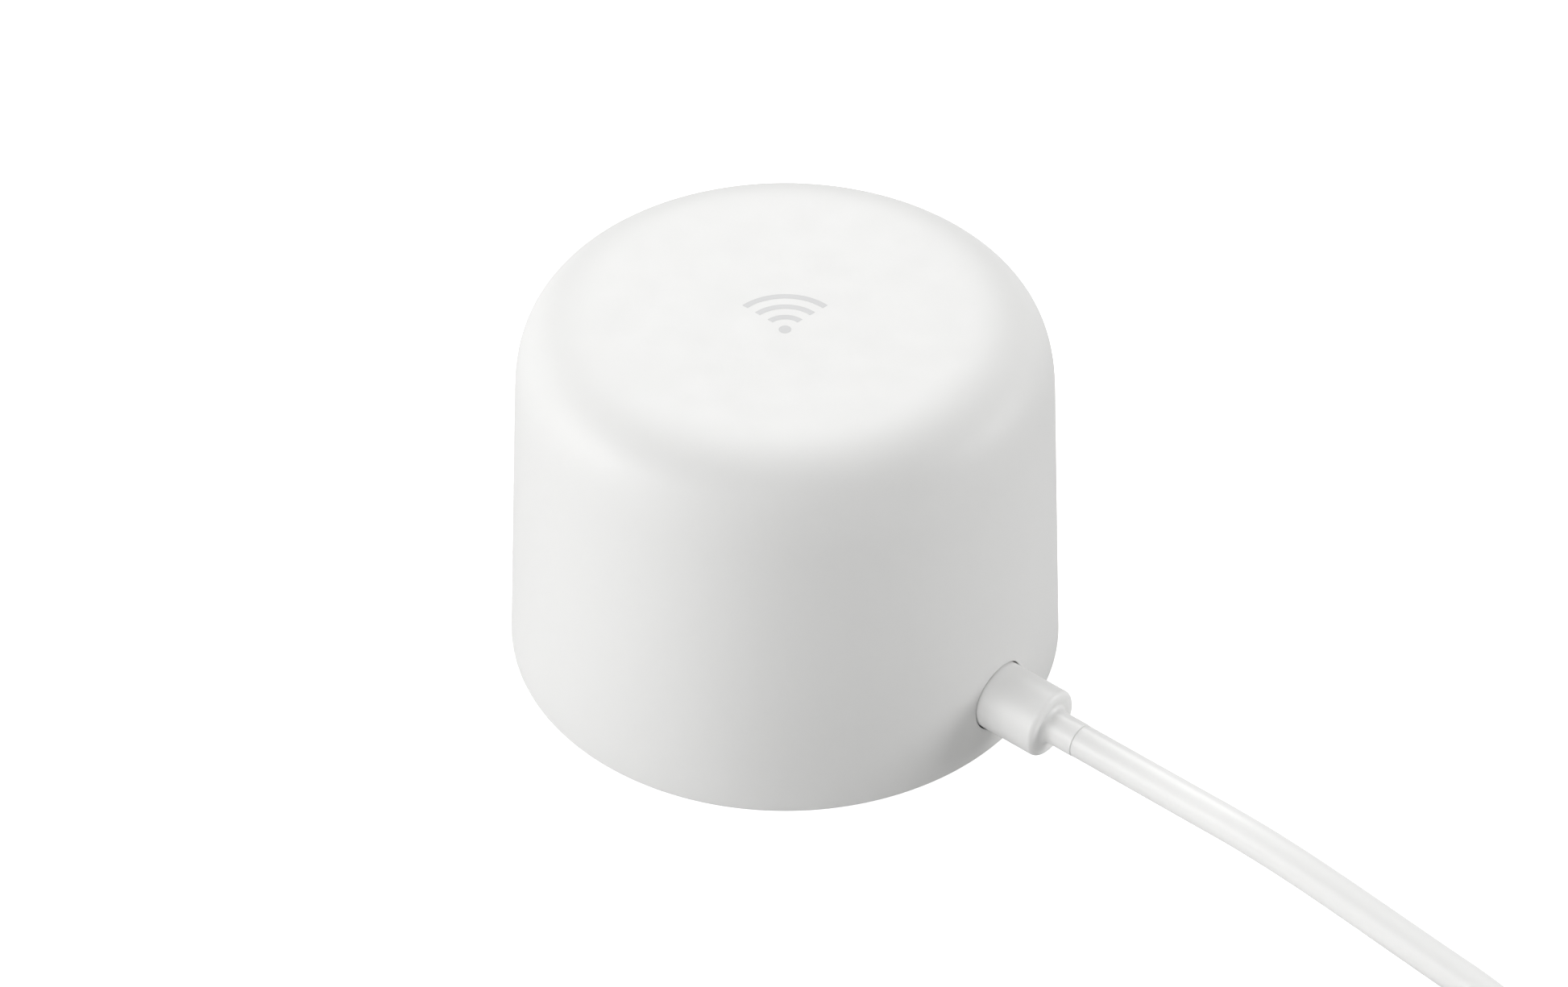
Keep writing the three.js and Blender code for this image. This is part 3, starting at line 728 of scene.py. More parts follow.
# ---- casing -------------------------------------------------------------------------------
@dataclass(frozen=True)
class Opening:
    """A hole straight through the cover's wall along a level axis.

    Attributes:
        bearing: The axis's angle round Z.
        height: Its height.
        reach: The outline's distance from the axis, by angle.
        columns: Half the patch of grid round the hole, in columns.
        rows: The patch's first and last row heights.
        rim: The rounding of its outer edge.
    """

    bearing: float
    height: float
    reach: Callable[[np.ndarray], np.ndarray]
    columns: int
    rows: tuple[float, float]
    rim: float


def round_reach(radius: float) -> Callable[[np.ndarray], np.ndarray]:
    """The reach of a round outline."""
    return lambda angles: np.full_like(angles, radius)


def window_reach(half_width: float, half_height: float,
                 corner: float) -> Callable[[np.ndarray], np.ndarray]:
    """The reach of a rectangle with rounded corners, found by halving steps."""
    def reach(angles: np.ndarray) -> np.ndarray:
        """How far the outline is from the middle at each angle."""
        way = np.abs(np.stack([np.cos(angles), np.sin(angles)], 1))
        low, high = np.zeros(len(angles)), np.full(len(angles), half_width + half_height)
        inner = np.array([half_width - corner, half_height - corner])
        for _ in range(40):
            middle = (low + high) / 2
            beyond = way * middle[:, None] - inner
            outside = (np.linalg.norm(np.maximum(beyond, 0), axis=1)
                       + np.minimum(beyond.max(1), 0)) > corner
            low, high = np.where(outside, low, middle), np.where(outside, middle, high)
        return low
    return reach


@dataclass
class Casing:
    """The cover with its openings, the mark on it, the base, the foot and the button."""

    wardrobe: Wardrobe
    radius: float = 40 * MM
    shoulder_r: float = 37.3 * MM
    curve: float = 12.8 * MM
    power: float = 2.86
    wall: float = 2 * MM
    edge: float = 0.35 * MM
    columns: int = 256
    port_z: float = 8.5 * MM
    port_r: float = 5.22 * MM
    button_hole: float = 2.2 * MM
    window_low: float = 8.2 * MM
    window_high: float = 18.7 * MM
    window_half: float = 6.3 * MM
    screw_place: float = 28.4 * MM
    foot_width: float = 3.6 * MM

    def __post_init__(self) -> None:
        """Reads the cover's lowest and highest points from the frame."""
        low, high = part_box("outer_cover")
        self.low, self.high = low.z, high.z
        self.side_top = self.high - self.curve
        self.taper = (self.radius - self.shoulder_r) / self.side_top

    def profile(self) -> np.ndarray:
        """(radius, height) of the outside from the lower edge to the top's middle, by rows."""
        side = np.linspace(self.low + self.edge, self.side_top, 44)
        rows = [(self.radius - self.taper * z, z) for z in side]
        turn = np.linspace(0, math.pi / 2, 400)
        out = self.curve * np.cos(turn) ** (2 / self.power)
        up = self.curve * np.sin(turn) ** (2 / self.power)
        bend = np.stack([self.shoulder_r - self.curve + out - up * self.taper,
                         self.side_top + up], 1)
        run = np.r_[0, np.cumsum(np.linalg.norm(np.diff(bend, axis=0), axis=1))]
        even = np.linspace(0, run[-1], 31)[1:]
        rows += list(zip(np.interp(even, run, bend[:, 0]), np.interp(even, run, bend[:, 1])))
        top_r = rows[-1][0]
        rows += [(top_r * share, self.high) for share in np.linspace(1, 0.04, 17)[1:]]
        return np.array(rows)

    def inner_profile(self, outer: np.ndarray) -> np.ndarray:
        """The same rows, a wall's thickness in from the outside."""
        along = np.gradient(outer, axis=0)
        normal = np.stack([along[:, 1], -along[:, 0]], 1)
        normal /= np.linalg.norm(normal, axis=1)[:, None]
        inner = outer - normal * self.wall
        inner[0, 1] = self.low
        return inner

    def openings(self) -> list[Opening]:
        """The plug's port, the reset button's hole and the network jack's window."""
        middle = (self.window_low + self.window_high) / 2
        half = (self.window_high - self.window_low) / 2
        return [
            Opening(0, self.port_z, round_reach(self.port_r), 7, (1.6 * MM, 15.4 * MM),
                    0.09 * MM),
            Opening(math.pi / 2, self.port_z, round_reach(self.button_hole), 4,
                    (4.9 * MM, 12.1 * MM), 0.3 * MM),
            Opening(math.pi, middle, window_reach(self.window_half, half, 0.7 * MM), 8,
                    (6.2 * MM, 20.8 * MM), 0.4 * MM),
        ]

    def hole_rings(self, hole: Opening, edge: np.ndarray) -> list[np.ndarray]:
        """The rings of points that lead from the wall's outside, through it, to its inside.

        Args:
            hole: The opening.
            edge: The patch's edge on the outside, turned to face +X.

        Returns:
            The rings between the two edges, outermost first, facing +X.
        """
        across, up = edge[:, 1], edge[:, 2] - hole.height
        angles = np.arctan2(up, across)
        way = np.stack([np.cos(angles), np.sin(angles)], 1)
        reach = hole.reach(angles)
        start = np.stack([across, up], 1)

        def ring(spread: float, blend: float, depth: float, inside: bool) -> np.ndarray:
            """One ring, blended from the patch's edge to the widened outline."""
            flat = start * (1 - blend) + way * (reach + spread)[:, None] * blend
            height = hole.height + flat[:, 1]
            radius = self.radius - self.taper * height - (self.wall if inside else 0)
            x = np.sqrt(radius ** 2 - flat[:, 0] ** 2) - depth
            return np.stack([x, flat[:, 0], height], 1)

        rings = [ring(hole.rim, blend, 0, False) for blend in (0.3, 0.6, 0.85)]
        for turn in np.radians(np.linspace(0, 90, 6)):
            rings.append(ring(hole.rim * (1 - math.sin(turn)), 1,
                              hole.rim * (1 - math.cos(turn)), False))
        rings += [ring(0, 1, -0.1 * MM, True), ring(0.1 * MM, 1, 0, True)]
        return rings + [ring(0.1 * MM, blend, 0, True) for blend in (0.85, 0.6, 0.3)]

    def make_cover(self) -> bpy.types.Object:
        """The cover: an outer and an inner skin joined at the lower edge and the openings."""
        outer = self.profile()
        inner = self.inner_profile(outer)
        turn = np.linspace(0, 2 * math.pi, self.columns, endpoint=False)
        around = np.stack([np.cos(turn), np.sin(turn)], 1)

        def skin(profile: np.ndarray) -> np.ndarray:
            """A profile turned round the axis."""
            flat = profile[:, None, :1] * around[None]
            height = np.broadcast_to(profile[:, None, 1:], (*flat.shape[:2], 1))
            return np.concatenate([flat, height], 2).reshape(-1, 3)

        lip = np.array([(inner[0, 0], self.low)] + [
            (outer[0, 0] + self.taper * self.edge - self.edge * (1 - math.cos(t)),
             self.low + self.edge * (1 - math.sin(t)))
            for t in np.radians(np.linspace(90, 18, 4))])
        rows = len(outer)
        verts = list(skin(outer)) + list(skin(inner)) + list(skin(lip[1:]))
        inner_start, lip_start = rows * self.columns, 2 * rows * self.columns
        holes = [(hole, *self.patch(hole, outer)) for hole in self.openings()]
        taken = {(i, j) for _, cells, _ in holes for i, j in cells}
        faces = []
        for i in range(rows - 1):
            for j in range(self.columns):
                if (i, j) in taken:
                    continue
                k = (j + 1) % self.columns
                quad = (i * self.columns + j, i * self.columns + k,
                        (i + 1) * self.columns + k, (i + 1) * self.columns + j)
                faces += [quad, tuple(inner_start + n for n in reversed(quad))]
        for start, top, flip in ((0, self.high, False),
                                 (inner_start, self.high - self.wall, True)):
            verts.append(np.array((0, 0, top)))
            last = start + (rows - 1) * self.columns
            for j in range(self.columns):
                fan = (last + j, last + (j + 1) % self.columns, len(verts) - 1)
                faces.append(tuple(reversed(fan)) if flip else fan)
        strips = [inner_start, *(lip_start + n * self.columns for n in range(len(lip) - 1)), 0]
        for low, high in zip(strips, strips[1:]):
            for j in range(self.columns):
                k = (j + 1) % self.columns
                faces.append((low + j, low + k, high + k, high + j))
        for hole, _, loop in holes:
            self.add_hole(hole, loop, inner_start, verts, faces)
        used = sorted({n for face in faces for n in face})
        place = {n: i for i, n in enumerate(used)}
        cover = new_piece("cover", [verts[n] for n in used],
                          [tuple(place[n] for n in face) for face in faces])
        soften(cover, math.radians(50))
        return cover

    def patch(self, hole: Opening, outer: np.ndarray
              ) -> tuple[list[tuple[int, int]], list[int]]:
        """The grid cells that an opening takes up, and the loop of points round them.

        Args:
            hole: The opening.
            outer: The outside's rows.

        Returns:
            The cells as (row, column), and the loop's point indices, anticlockwise from
            outside.
        """
        heights = outer[:, 1]
        first = int(np.abs(heights - hole.rows[0]).argmin())
        last = int(np.abs(heights - hole.rows[1]).argmin())
        middle = round(hole.bearing / (2 * math.pi) * self.columns)
        left, right = middle - hole.columns, middle + hole.columns
        cells = [(i, j % self.columns) for i in range(first, last) for j in range(left, right)]
        walk = [(first, j) for j in range(left, right)]
        walk += [(i, right) for i in range(first, last)]
        walk += [(last, j) for j in range(right, left, -1)]
        walk += [(i, left) for i in range(last, first, -1)]
        return cells, [i * self.columns + j % self.columns for i, j in walk]

    def add_hole(self, hole: Opening, loop: list[int], inner_start: int, verts: list,
                 faces: list) -> None:
        """Adds an opening's rings and the strips of faces that join them."""
        turn = np.array(Matrix.Rotation(hole.bearing, 3, "Z"))
        edge = np.array([verts[n] for n in loop]) @ turn
        strips = [loop]
        for ring in self.hole_rings(hole, edge):
            strips.append(list(range(len(verts), len(verts) + len(loop))))
            verts += list(ring @ turn.T)
        strips.append([inner_start + n for n in loop])
        count = len(loop)
        for a, b in zip(strips, strips[1:]):
            faces += [(a[n], a[(n + 1) % count], b[(n + 1) % count], b[n])
                      for n in range(count)]

    def make_mark(self) -> bpy.types.Object:
        """A plain sign for radio waves, printed on the top: a dot under three arcs."""
        proud, sunk, thick = 0.015 * MM, 0.02 * MM, 0.95 * MM
        dot_r, spread = 0.85 * MM, math.radians(47)
        base = -4.3 * MM
        shapes = []
        for arc in range(3):
            middle = (2.75 + arc * 2.35) * MM
            sweep = np.linspace(-spread, spread, 33)
            outside = [((middle + thick / 2) * math.sin(a), (middle + thick / 2) * math.cos(a))
                       for a in sweep]
            within = [((middle - thick / 2) * math.sin(a), (middle - thick / 2) * math.cos(a))
                      for a in sweep[::-1]]
            shapes.append(outside + within)
        ring = np.linspace(0, 2 * math.pi, 41)[:-1]
        shapes.append([(dot_r * math.sin(a), dot_r * math.cos(a)) for a in ring])
        azimuth = Studio().azimuth
        turn = Matrix.Rotation(azimuth, 3, "Z")
        verts, faces = [], []
        for outline in shapes:
            start, count = len(verts), len(outline)
            for z in (self.high - sunk, self.high + proud):
                verts += [(*(turn @ Vector((x, y + base, 0))).xy, z) for x, y in outline]
            bottom = list(range(start, start + count))
            top = [n + count for n in bottom]
            faces += [tuple(bottom), tuple(reversed(top))]
            faces += [(bottom[(n + 1) % count], bottom[n], top[n], top[(n + 1) % count])
                      for n in range(count)]
        mark = new_piece("radio_sign", verts, faces, self.wardrobe.mark)
        recalculate(mark)
        soften(mark)
        return mark

    def make_foot(self) -> bpy.types.Object:
        """The rubber ring under the base, with rounded edges and two fine grooves."""
        _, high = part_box("foot_ring")
        outside, inside, height = high.x, high.x - self.foot_width, high.z
        soft, chamfer = 0.35 * MM, 0.1 * MM
        profile = [*fillet((outside - soft, soft), soft, -90, 0, 4),
                   (outside, height - chamfer), (outside - chamfer, height),
                   (inside + chamfer, height), (inside, height - chamfer),
                   *fillet((inside + soft, soft), soft, 180, 270, 4)]
        mouth, floor, depth = 0.25 * MM, 0.12 * MM, 0.2 * MM
        for groove in (1, 2):
            middle = inside + (outside - inside) * groove / 3
            profile += [(middle - mouth, 0), (middle - floor, depth),
                        (middle + floor, depth), (middle + mouth, 0)]
        return turned("foot", profile, sides=192)

    def make_button(self) -> bpy.types.Object:
        """The reset button's cap, with a rounded rim and a dished face."""
        low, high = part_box("reset_button")
        flange_y, radius = 36 * MM, 2 * MM
        length, soft = high.y - low.y, 0.4 * MM
        flange = flange_y - low.y
        profile = [(0, 0), (1.3 * MM, 0), (1.4 * MM, 0.1 * MM), (1.4 * MM, flange),
                   (2.9 * MM, flange), (3.0 * MM, flange + 0.1 * MM),
                   (3.0 * MM, flange + 0.9 * MM), (2.9 * MM, flange + 1.0 * MM),
                   (radius, flange + 1.0 * MM),
                   *fillet((radius - soft, length - soft), soft, 0, 90, 6),
                   (1.2 * MM, length - 0.05 * MM), (0.7 * MM, length - 0.16 * MM),
                   (0, length - 0.2 * MM)]
        return turned("reset_cap", profile, (0, low.y, self.port_z), Axis.Y, 72)

    def make_screws(self) -> bpy.types.Object:
        """The four base screws: pan heads with a cross recess, thread shafts above."""
        low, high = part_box("base_screw_1")
        head_r, head_h = 2.4 * MM, 1.1 * MM
        shaft, length = 1.2 * MM, high.z - low.z
        profile = [(0, 0), (1.3 * MM, 0), *fillet((head_r - 0.6 * MM, 0.6 * MM), 0.6 * MM,
                                                 -80, 0, 5), (head_r, head_h - 0.1 * MM),
                   (head_r - 0.1 * MM, head_h), (shaft * 0.85, head_h)]
        pitch = 0.5 * MM
        for turn in range(int((length - head_h - 1.2 * MM) / pitch)):
            at = head_h + 0.4 * MM + turn * pitch
            profile += [(shaft * 0.85, at), (shaft, at + 0.15 * MM), (shaft, at + 0.2 * MM),
                        (shaft * 0.85, at + 0.35 * MM)]
        profile += [(shaft * 0.6, length - 0.3 * MM), (0, length)]
        screw = turned("screw", profile, (0, 0, low.z), sides=36)
        arm, thin, bottom, top = 1.3 * MM, 0.32 * MM, low.z - MM, low.z + 0.7 * MM
        arms = [block("arm", (-arm, -thin, bottom), (arm, thin, top)),
                block("arm", (-thin, -arm, bottom), (thin, arm, top))]
        cut(screw, arms)
        return Repeater(Layout.CIRCLE).make(
            "base_screws", screw, Count=4, Radius=self.screw_place,
            Turn=math.radians(45), Start=(0.0, 0.0, 0.0),
            Finish=self.wardrobe.materials["steel"])

    def build(self) -> None:
        """Makes the casing's pieces."""
        fit = self.wardrobe.fit
        fit(self.make_cover(), "cover", ROUTER, "outer_cover")
        fit(self.make_mark(), "carrier", ROUTER)
        fit(self.make_foot(), "foot", ROUTER, "foot_ring")
        fit(self.make_button(), "button", BUTTON, "reset_button")
        fit(self.make_screws(), "steel", ROUTER,
            *(f"base_screw_{n}" for n in range(1, 5)))
        fit(refined("base_plate", "base_moulding", 0.15 * MM), "base", ROUTER, "base_plate")


# ---- electronics --------------------------------------------------------------------------
def refined(node: str, name: str, edge: float, angle: float = 50) -> bpy.types.Object:
    """A copy of one of the frame's nodes with its doubles merged and its edges rounded.

    Args:
        node: The node.
        name: The copy's name.
        edge: The rounding's width.
        angle: Degrees past which an edge is rounded.

    Returns:
        The copy.
    """
    mesh = frame["nodes"][node].data.copy()
    mesh.materials.clear()
    piece = bpy.data.objects.new(name, mesh)
    bpy.context.scene.collection.objects.link(piece)
    work = bmesh.new()
    work.from_mesh(mesh)
    bmesh.ops.remove_doubles(work, verts=work.verts, dist=1e-6)
    bmesh.ops.dissolve_limit(work, angle_limit=math.radians(1), verts=work.verts,
                             edges=work.edges)
    work.to_mesh(mesh)
    work.free()
    for layer in list(mesh.attributes):
        if layer.name == "custom_normal":
            mesh.attributes.remove(layer)
    return rounded(piece, edge, 2, angle)


@dataclass
class Electronics:
    """The boards, jack, chips, heatsink and antennas inside."""

    wardrobe: Wardrobe
    wires: int = 8
    wire_pitch: float = 1.02 * MM
    wire: float = 0.36 * MM

    def make_wires(self) -> bpy.types.Object:
        """The jack's eight sprung contact wires on their comb."""
        low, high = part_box("network_jack_contacts")
        half = self.wire / 2
        deep = high.x - low.x
        spine = [(0.0, 0.15), (1.2, 0.15), (2.0, 0.4), (deep / MM - 2.2, 1.62),
                 (deep / MM - 1.2, 1.7), (deep / MM - 0.6, 1.5), (deep / MM - 0.1, 0.6)]
        rows = []
        for x, z in spine:
            rows += [(low.x + x * MM, y, low.z + (z + rise) * MM)
                     for y, rise in ((-half, 0.0), (half, 0.0), (half, 0.26), (-half, 0.26))]
        faces = [tuple(reversed(face)) for face in sheet_faces(len(spine), 4)]
        end = (len(spine) - 1) * 4
        faces += [(0, 1, 2, 3), (end + 3, end + 2, end + 1, end)]
        wire = new_piece("wire", rows, faces)
        recalculate(wire)
        rounded(wire, 0.06 * MM, 2)
        start = -(self.wires - 1) / 2 * self.wire_pitch
        return Repeater(Layout.LINE).make(
            "jack_wires", wire, Count=self.wires, Start=(0.0, start, 0.0),
            Step=(0.0, self.wire_pitch, 0.0), Finish=self.wardrobe.materials["contact_gold"])

    def make_small_parts(self) -> bpy.types.Object:
        """A row of small board capacitors beside the heatsink."""
        _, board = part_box("main_board")
        part = block("small_part", (-0.8 * MM, -0.4 * MM, board.z),
                     (0.8 * MM, 0.4 * MM, board.z + 0.7 * MM))
        rounded(part, 0.12 * MM, 2)
        return Repeater(Layout.LINE).make(
            "board_small_parts", part, Count=10, Start=(-10.8 * MM, 16.3 * MM, 0.0),
            Step=(2.4 * MM, 0.0, 0.0), Finish=self.wardrobe.materials["chip"])

    def make_can(self, number: int) -> bpy.types.Object:
        """A round capacitor can with a rolled rim and a shallow sunk top."""
        low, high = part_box(f"capacitor_{number}")
        radius, height = (high.x - low.x) / 2, high.z - low.z
        profile = [(0, 0), (radius, 0), (radius, 0.8 * MM), (radius - 0.2 * MM, 1.1 * MM),
                   (radius, 1.4 * MM), *fillet((radius - 0.35 * MM, height - 0.35 * MM),
                                               0.35 * MM, 0, 90, 5),
                   (radius - 0.6 * MM, height - 0.12 * MM), (0, height - 0.12 * MM)]
        middle = (low + high) / 2
        return turned(f"can_{number}", profile, (middle.x, middle.y, low.z), sides=48)

    def build(self) -> None:
        """Makes the finer electronics and refines the frame's plain ones."""
        fit, table = self.wardrobe.fit, frame["record"]["subparts"]
        slots = {entry["node"]: entry["material_slot"] for entry in table}
        fit(self.make_wires(), "contact_gold", ROUTER, "network_jack_contacts")
        fit(self.make_small_parts(), "chip", ROUTER)
        for number in (1, 2, 3):
            fit(self.make_can(number), "can", ROUTER, f"capacitor_{number}")
        plain_nodes = {
            "network_jack_housing": 0.18, "network_jack_shield": 0.1, "processor": 0.12,
            "network_transformer": 0.25, "memory_chip": 0.12, "flash_chip": 0.12,
            "power_inductor": 0.5, "radio_shield_1": 0.1, "radio_shield_2": 0.1,
            "heatsink": 0.15, "antenna_carrier": 0.2, "thermal_pad": 0.15,
            "reset_switch": 0.2, "light_guide": 0.3, "status_led": 0.2,
        }
        for node, width in plain_nodes.items():
            fit(refined(node, f"{node}_finished", width * MM), slots[node], ROUTER, node)


# ---- power lead ---------------------------------------------------------------------------
@dataclass
class PowerLead:
    """The lead: its plug at the router, the cord, its coil and strap, and its far plug."""

    wardrobe: Wardrobe
    thickness: float = 4.8 * MM
    start_x: float = 53.3 * MM
    port_z: float = 8.5 * MM
    drop_from: float = 78 * MM
    drop_over: float = 77 * MM
    bend_r: float = 31 * MM
    coil_r: float = 28.8 * MM
    coil_x: float = 111 * MM
    coil_y: float = -65 * MM
    columns: int = 4
    shift_angle: float = math.radians(50)
    tail: float = 62 * MM
    tail_drop: float = 42 * MM
    tie_angle: float = math.radians(200)
    tie_width: float = 8 * MM
    tie_thick: float = 0.9 * MM
    tie_lift: float = 1.0 * MM
    sides: int = 28

    @property
    def outer_turn(self) -> float:
        """The radius of the outermost turn's centreline."""
        return self.coil_r + self.thickness * (self.columns - 1) / 2

    def height(self, run: float) -> float:
        """The cord's height once it has run a distance from the plug's line."""
        share = min(max((run - self.drop_from) / self.drop_over, 0), 1)
        fallen = 6 * share ** 2 - 8 * share ** 3 + 3 * share ** 4
        return self.port_z - (self.port_z - self.thickness / 2) * fallen

    def first_run(self) -> list[Point]:
        """The straight run out of the plug and the bend that leads into the coil."""
        bend_x = self.coil_x + self.outer_turn - self.bend_r
        stops = [self.start_x, *(x * MM for x in (62, 71, 80, 88, 96, 104, 112)), bend_x]
        points = [(x, 0.0, self.height(x)) for x in stops]
        for degrees in range(10, 91, 10):
            turn = math.radians(degrees)
            run = bend_x + turn * self.bend_r
            points.append((bend_x + self.bend_r * math.sin(turn),
                           self.bend_r * (math.cos(turn) - 1), self.height(run)))
        points.append((self.coil_x + self.outer_turn, -self.bend_r - 12 * MM,
                       self.thickness / 2))
        points.append((self.coil_x + self.outer_turn, self.coil_y + 12 * MM,
                       self.thickness / 2))
        return points

    def coil_point(self, angle: float) -> Point:
        """A point of the winding, a clockwise angle from where the cord joins it.

        The first layer goes inwards turn by turn and the second comes back out on top of it.
        """
        turn, rest = divmod(angle, 2 * math.pi)
        step = max(0.0, (rest - (2 * math.pi - self.shift_angle)) / self.shift_angle)
        ease = step * step * (3 - 2 * step)
        place = turn + ease
        top = self.columns - 1
        column = place if place <= top else max(place - 1, top) - top
        inward = min(place, top) if place <= top else top - column
        layer = min(max(place - top, 0), 1)
        radius = self.outer_turn - self.thickness * inward
        lift = self.tie_lift * math.exp(-((rest - (2 * math.pi - self.tie_angle)) / 0.35) ** 2)
        z = self.thickness * (0.5 + layer) + lift
        return (self.coil_x + radius * math.cos(-angle),
                self.coil_y + radius * math.sin(-angle), z)

    def winding(self) -> list[Point]:
        """The coil's turns, from the east side to the south side of the top layer."""
        total = 2 * math.pi * (2 * self.columns - 1) + math.pi / 2
        count = int(total / math.radians(9))
        return [self.coil_point(total * i / count) for i in range(count + 1)]

    def last_run(self) -> list[Point]:
        """The free end, off the top of the coil and down to its plug on the floor."""
        top, low = 1.5 * self.thickness, self.far_height
        points = []
        for i in range(1, 10):
            run = self.tail * i / 9
            share = min(run / self.tail_drop, 1)
            fall = share * share * (3 - 2 * share)
            points.append((self.coil_x - run, self.coil_y - self.outer_turn,
                           top - (top - low) * fall))
        return points

    @property
    def far_height(self) -> float:
        """The height of the far plug's axis, which lies on the floor."""
        low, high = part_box("far_plug_body")
        return (low.z + high.z) / 2

    def centreline(self) -> np.ndarray:
        """The whole cord's centreline, evenly stepped along a smooth curve."""
        given = np.array([*self.first_run(), *self.winding(), *self.last_run()])
        before, after = 2 * given[0] - given[1], 2 * given[-1] - given[-2]
        knots = np.vstack([before, given, after])
        pieces = []
        for a, b, c, d in zip(knots, knots[1:], knots[2:], knots[3:]):
            t = np.linspace(0, 1, 9)[:-1, None]
            pieces.append(0.5 * (2 * b + (c - a) * t + (2 * a - 5 * b + 4 * c - d) * t ** 2
                                 + (3 * b - a - 3 * c + d) * t ** 3))
        fine = np.vstack([*pieces, given[-1:]])
        lengths = np.r_[0, np.cumsum(np.linalg.norm(np.diff(fine, axis=0), axis=1))]
        count = int(lengths[-1] / (1.3 * MM))
        even = np.linspace(0, lengths[-1], count)
        line = np.stack([np.interp(even, lengths, fine[:, k]) for k in range(3)], 1)
        line[:, 2] = np.maximum(line[:, 2], self.thickness / 2)
        return line

    def make_cord(self, line: np.ndarray) -> bpy.types.Object:
        """The cord's jacket as a closed tube with a UV map along it.

        Args:
            line: The centreline.

        Returns:
            The tube, closed with flat ends.
        """
        tangent = np.gradient(line, axis=0)
        tangent /= np.linalg.norm(tangent, axis=1)[:, None]
        side = np.cross(tangent, (0, 0, 1.0))
        side /= np.linalg.norm(side, axis=1)[:, None]
        up = np.cross(side, tangent)
        turn = np.linspace(0, 2 * math.pi, self.sides, endpoint=False)
        ring = (side[:, None] * np.cos(turn)[None, :, None]
                + up[:, None] * np.sin(turn)[None, :, None])
        verts = (line[:, None] + ring * self.thickness / 2).reshape(-1, 3)
        rows = len(line)
        faces = [tuple(reversed(face)) for face in sheet_faces(rows, self.sides)]
        ends = [tuple(range(self.sides)),
                tuple(reversed(range((rows - 1) * self.sides, rows * self.sides)))]
        cord = new_piece("power_cord", verts, faces + ends)
        recalculate(cord)
        soften(cord, math.radians(60))
        self.unwrap(cord)
        return cord

    def unwrap(self, cord: bpy.types.Object) -> None:
        """Gives the tube a UV map: round it across, and along it in steps of its own."""
        layer = cord.data.uv_layers.new(name="UVMap")
        for face in cord.data.polygons:
            for loop in face.loop_indices:
                row, side = divmod(cord.data.loops[loop].vertex_index, self.sides)
                wraps = side == 0 and len(face.vertices) == 4 and any(
                    v % self.sides == self.sides - 1 for v in face.vertices)
                layer.data[loop].uv = ((side + self.sides * wraps) / self.sides,
                                       row * 1.3 * MM * 40)

    def make_collar(self) -> bpy.types.Object:
        """The plug's round body, with a rounded outer rim and a shallow seat for the neck."""
        low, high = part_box("plug_collar")
        radius, length, edge = high.y, high.x - low.x, 0.75 * MM
        profile = [(0, 0), (radius - 0.3 * MM, 0), (radius, 0.3 * MM),
                   *fillet((radius - edge, length - edge), edge, 0, 90, 7),
                   (3.45 * MM, length), (3.25 * MM, length - 0.12 * MM),
                   (2.9 * MM, length - 0.12 * MM), (0, length - 0.12 * MM)]
        return turned("plug_body", profile, (low.x, 0, self.port_z), Axis.X, 128)

    def make_neck(self) -> bpy.types.Object:
        """The short strain relief, with the fine groove where the jacket starts."""
        start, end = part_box("plug_collar")[1].x - 0.3 * MM, self.start_x
        jacket, groove = self.thickness / 2, 0.14 * MM
        length, flare = end - start, 0.7 * MM
        body = jacket + 0.05 * MM
        profile = [(0, 0), (body + flare, 0), (body + flare, 0.18 * MM),
                   *fillet((body + flare, 0.18 * MM + flare), flare, 270, 180, 6),
                   (body, length - 0.24 * MM), (body - 0.06 * MM, length - 0.17 * MM),
                   (jacket - groove, length - 0.17 * MM), (jacket - groove, length + 0.4 * MM),
                   (0, length + 0.4 * MM)]
        return turned("plug_neck_moulding", profile, (start, 0, self.port_z), Axis.X, 96)

    def make_tip(self, name: str, node: str, mouth_low: bool) -> bpy.types.Object:
        """A drawn metal plug tip with a rounded mouth and an open inside.

        Args:
            name: The piece's name.
            node: The frame's node that it stands for.
            mouth_low: Whether the mouth is at the low x end.

        Returns:
            The tip.
        """
        low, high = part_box(node)
        outer = slot_outline(high.y - low.y, high.z - low.z)
        wall, lip = 0.3 * MM, 0.1 * MM
        length = high.x - low.x
        sections = [(0.0, outer), (length - lip, outer), (length, shrunk(outer, lip)),
                    (length, shrunk(outer, wall - lip / 2))]
        hollow = [(length - lip, shrunk(outer, wall)), (1.2 * MM, shrunk(outer, wall))]
        tip = lofted(name, sections, hollow)
        turn = Matrix.Rotation(math.pi, 4, "Z") if mouth_low else Matrix.Identity(4)
        x = high.x if mouth_low else low.x
        centre = Vector((x, (low.y + high.y) / 2, (low.z + high.z) / 2))
        tip.data.transform(Matrix.Translation(centre) @ turn)
        return tip

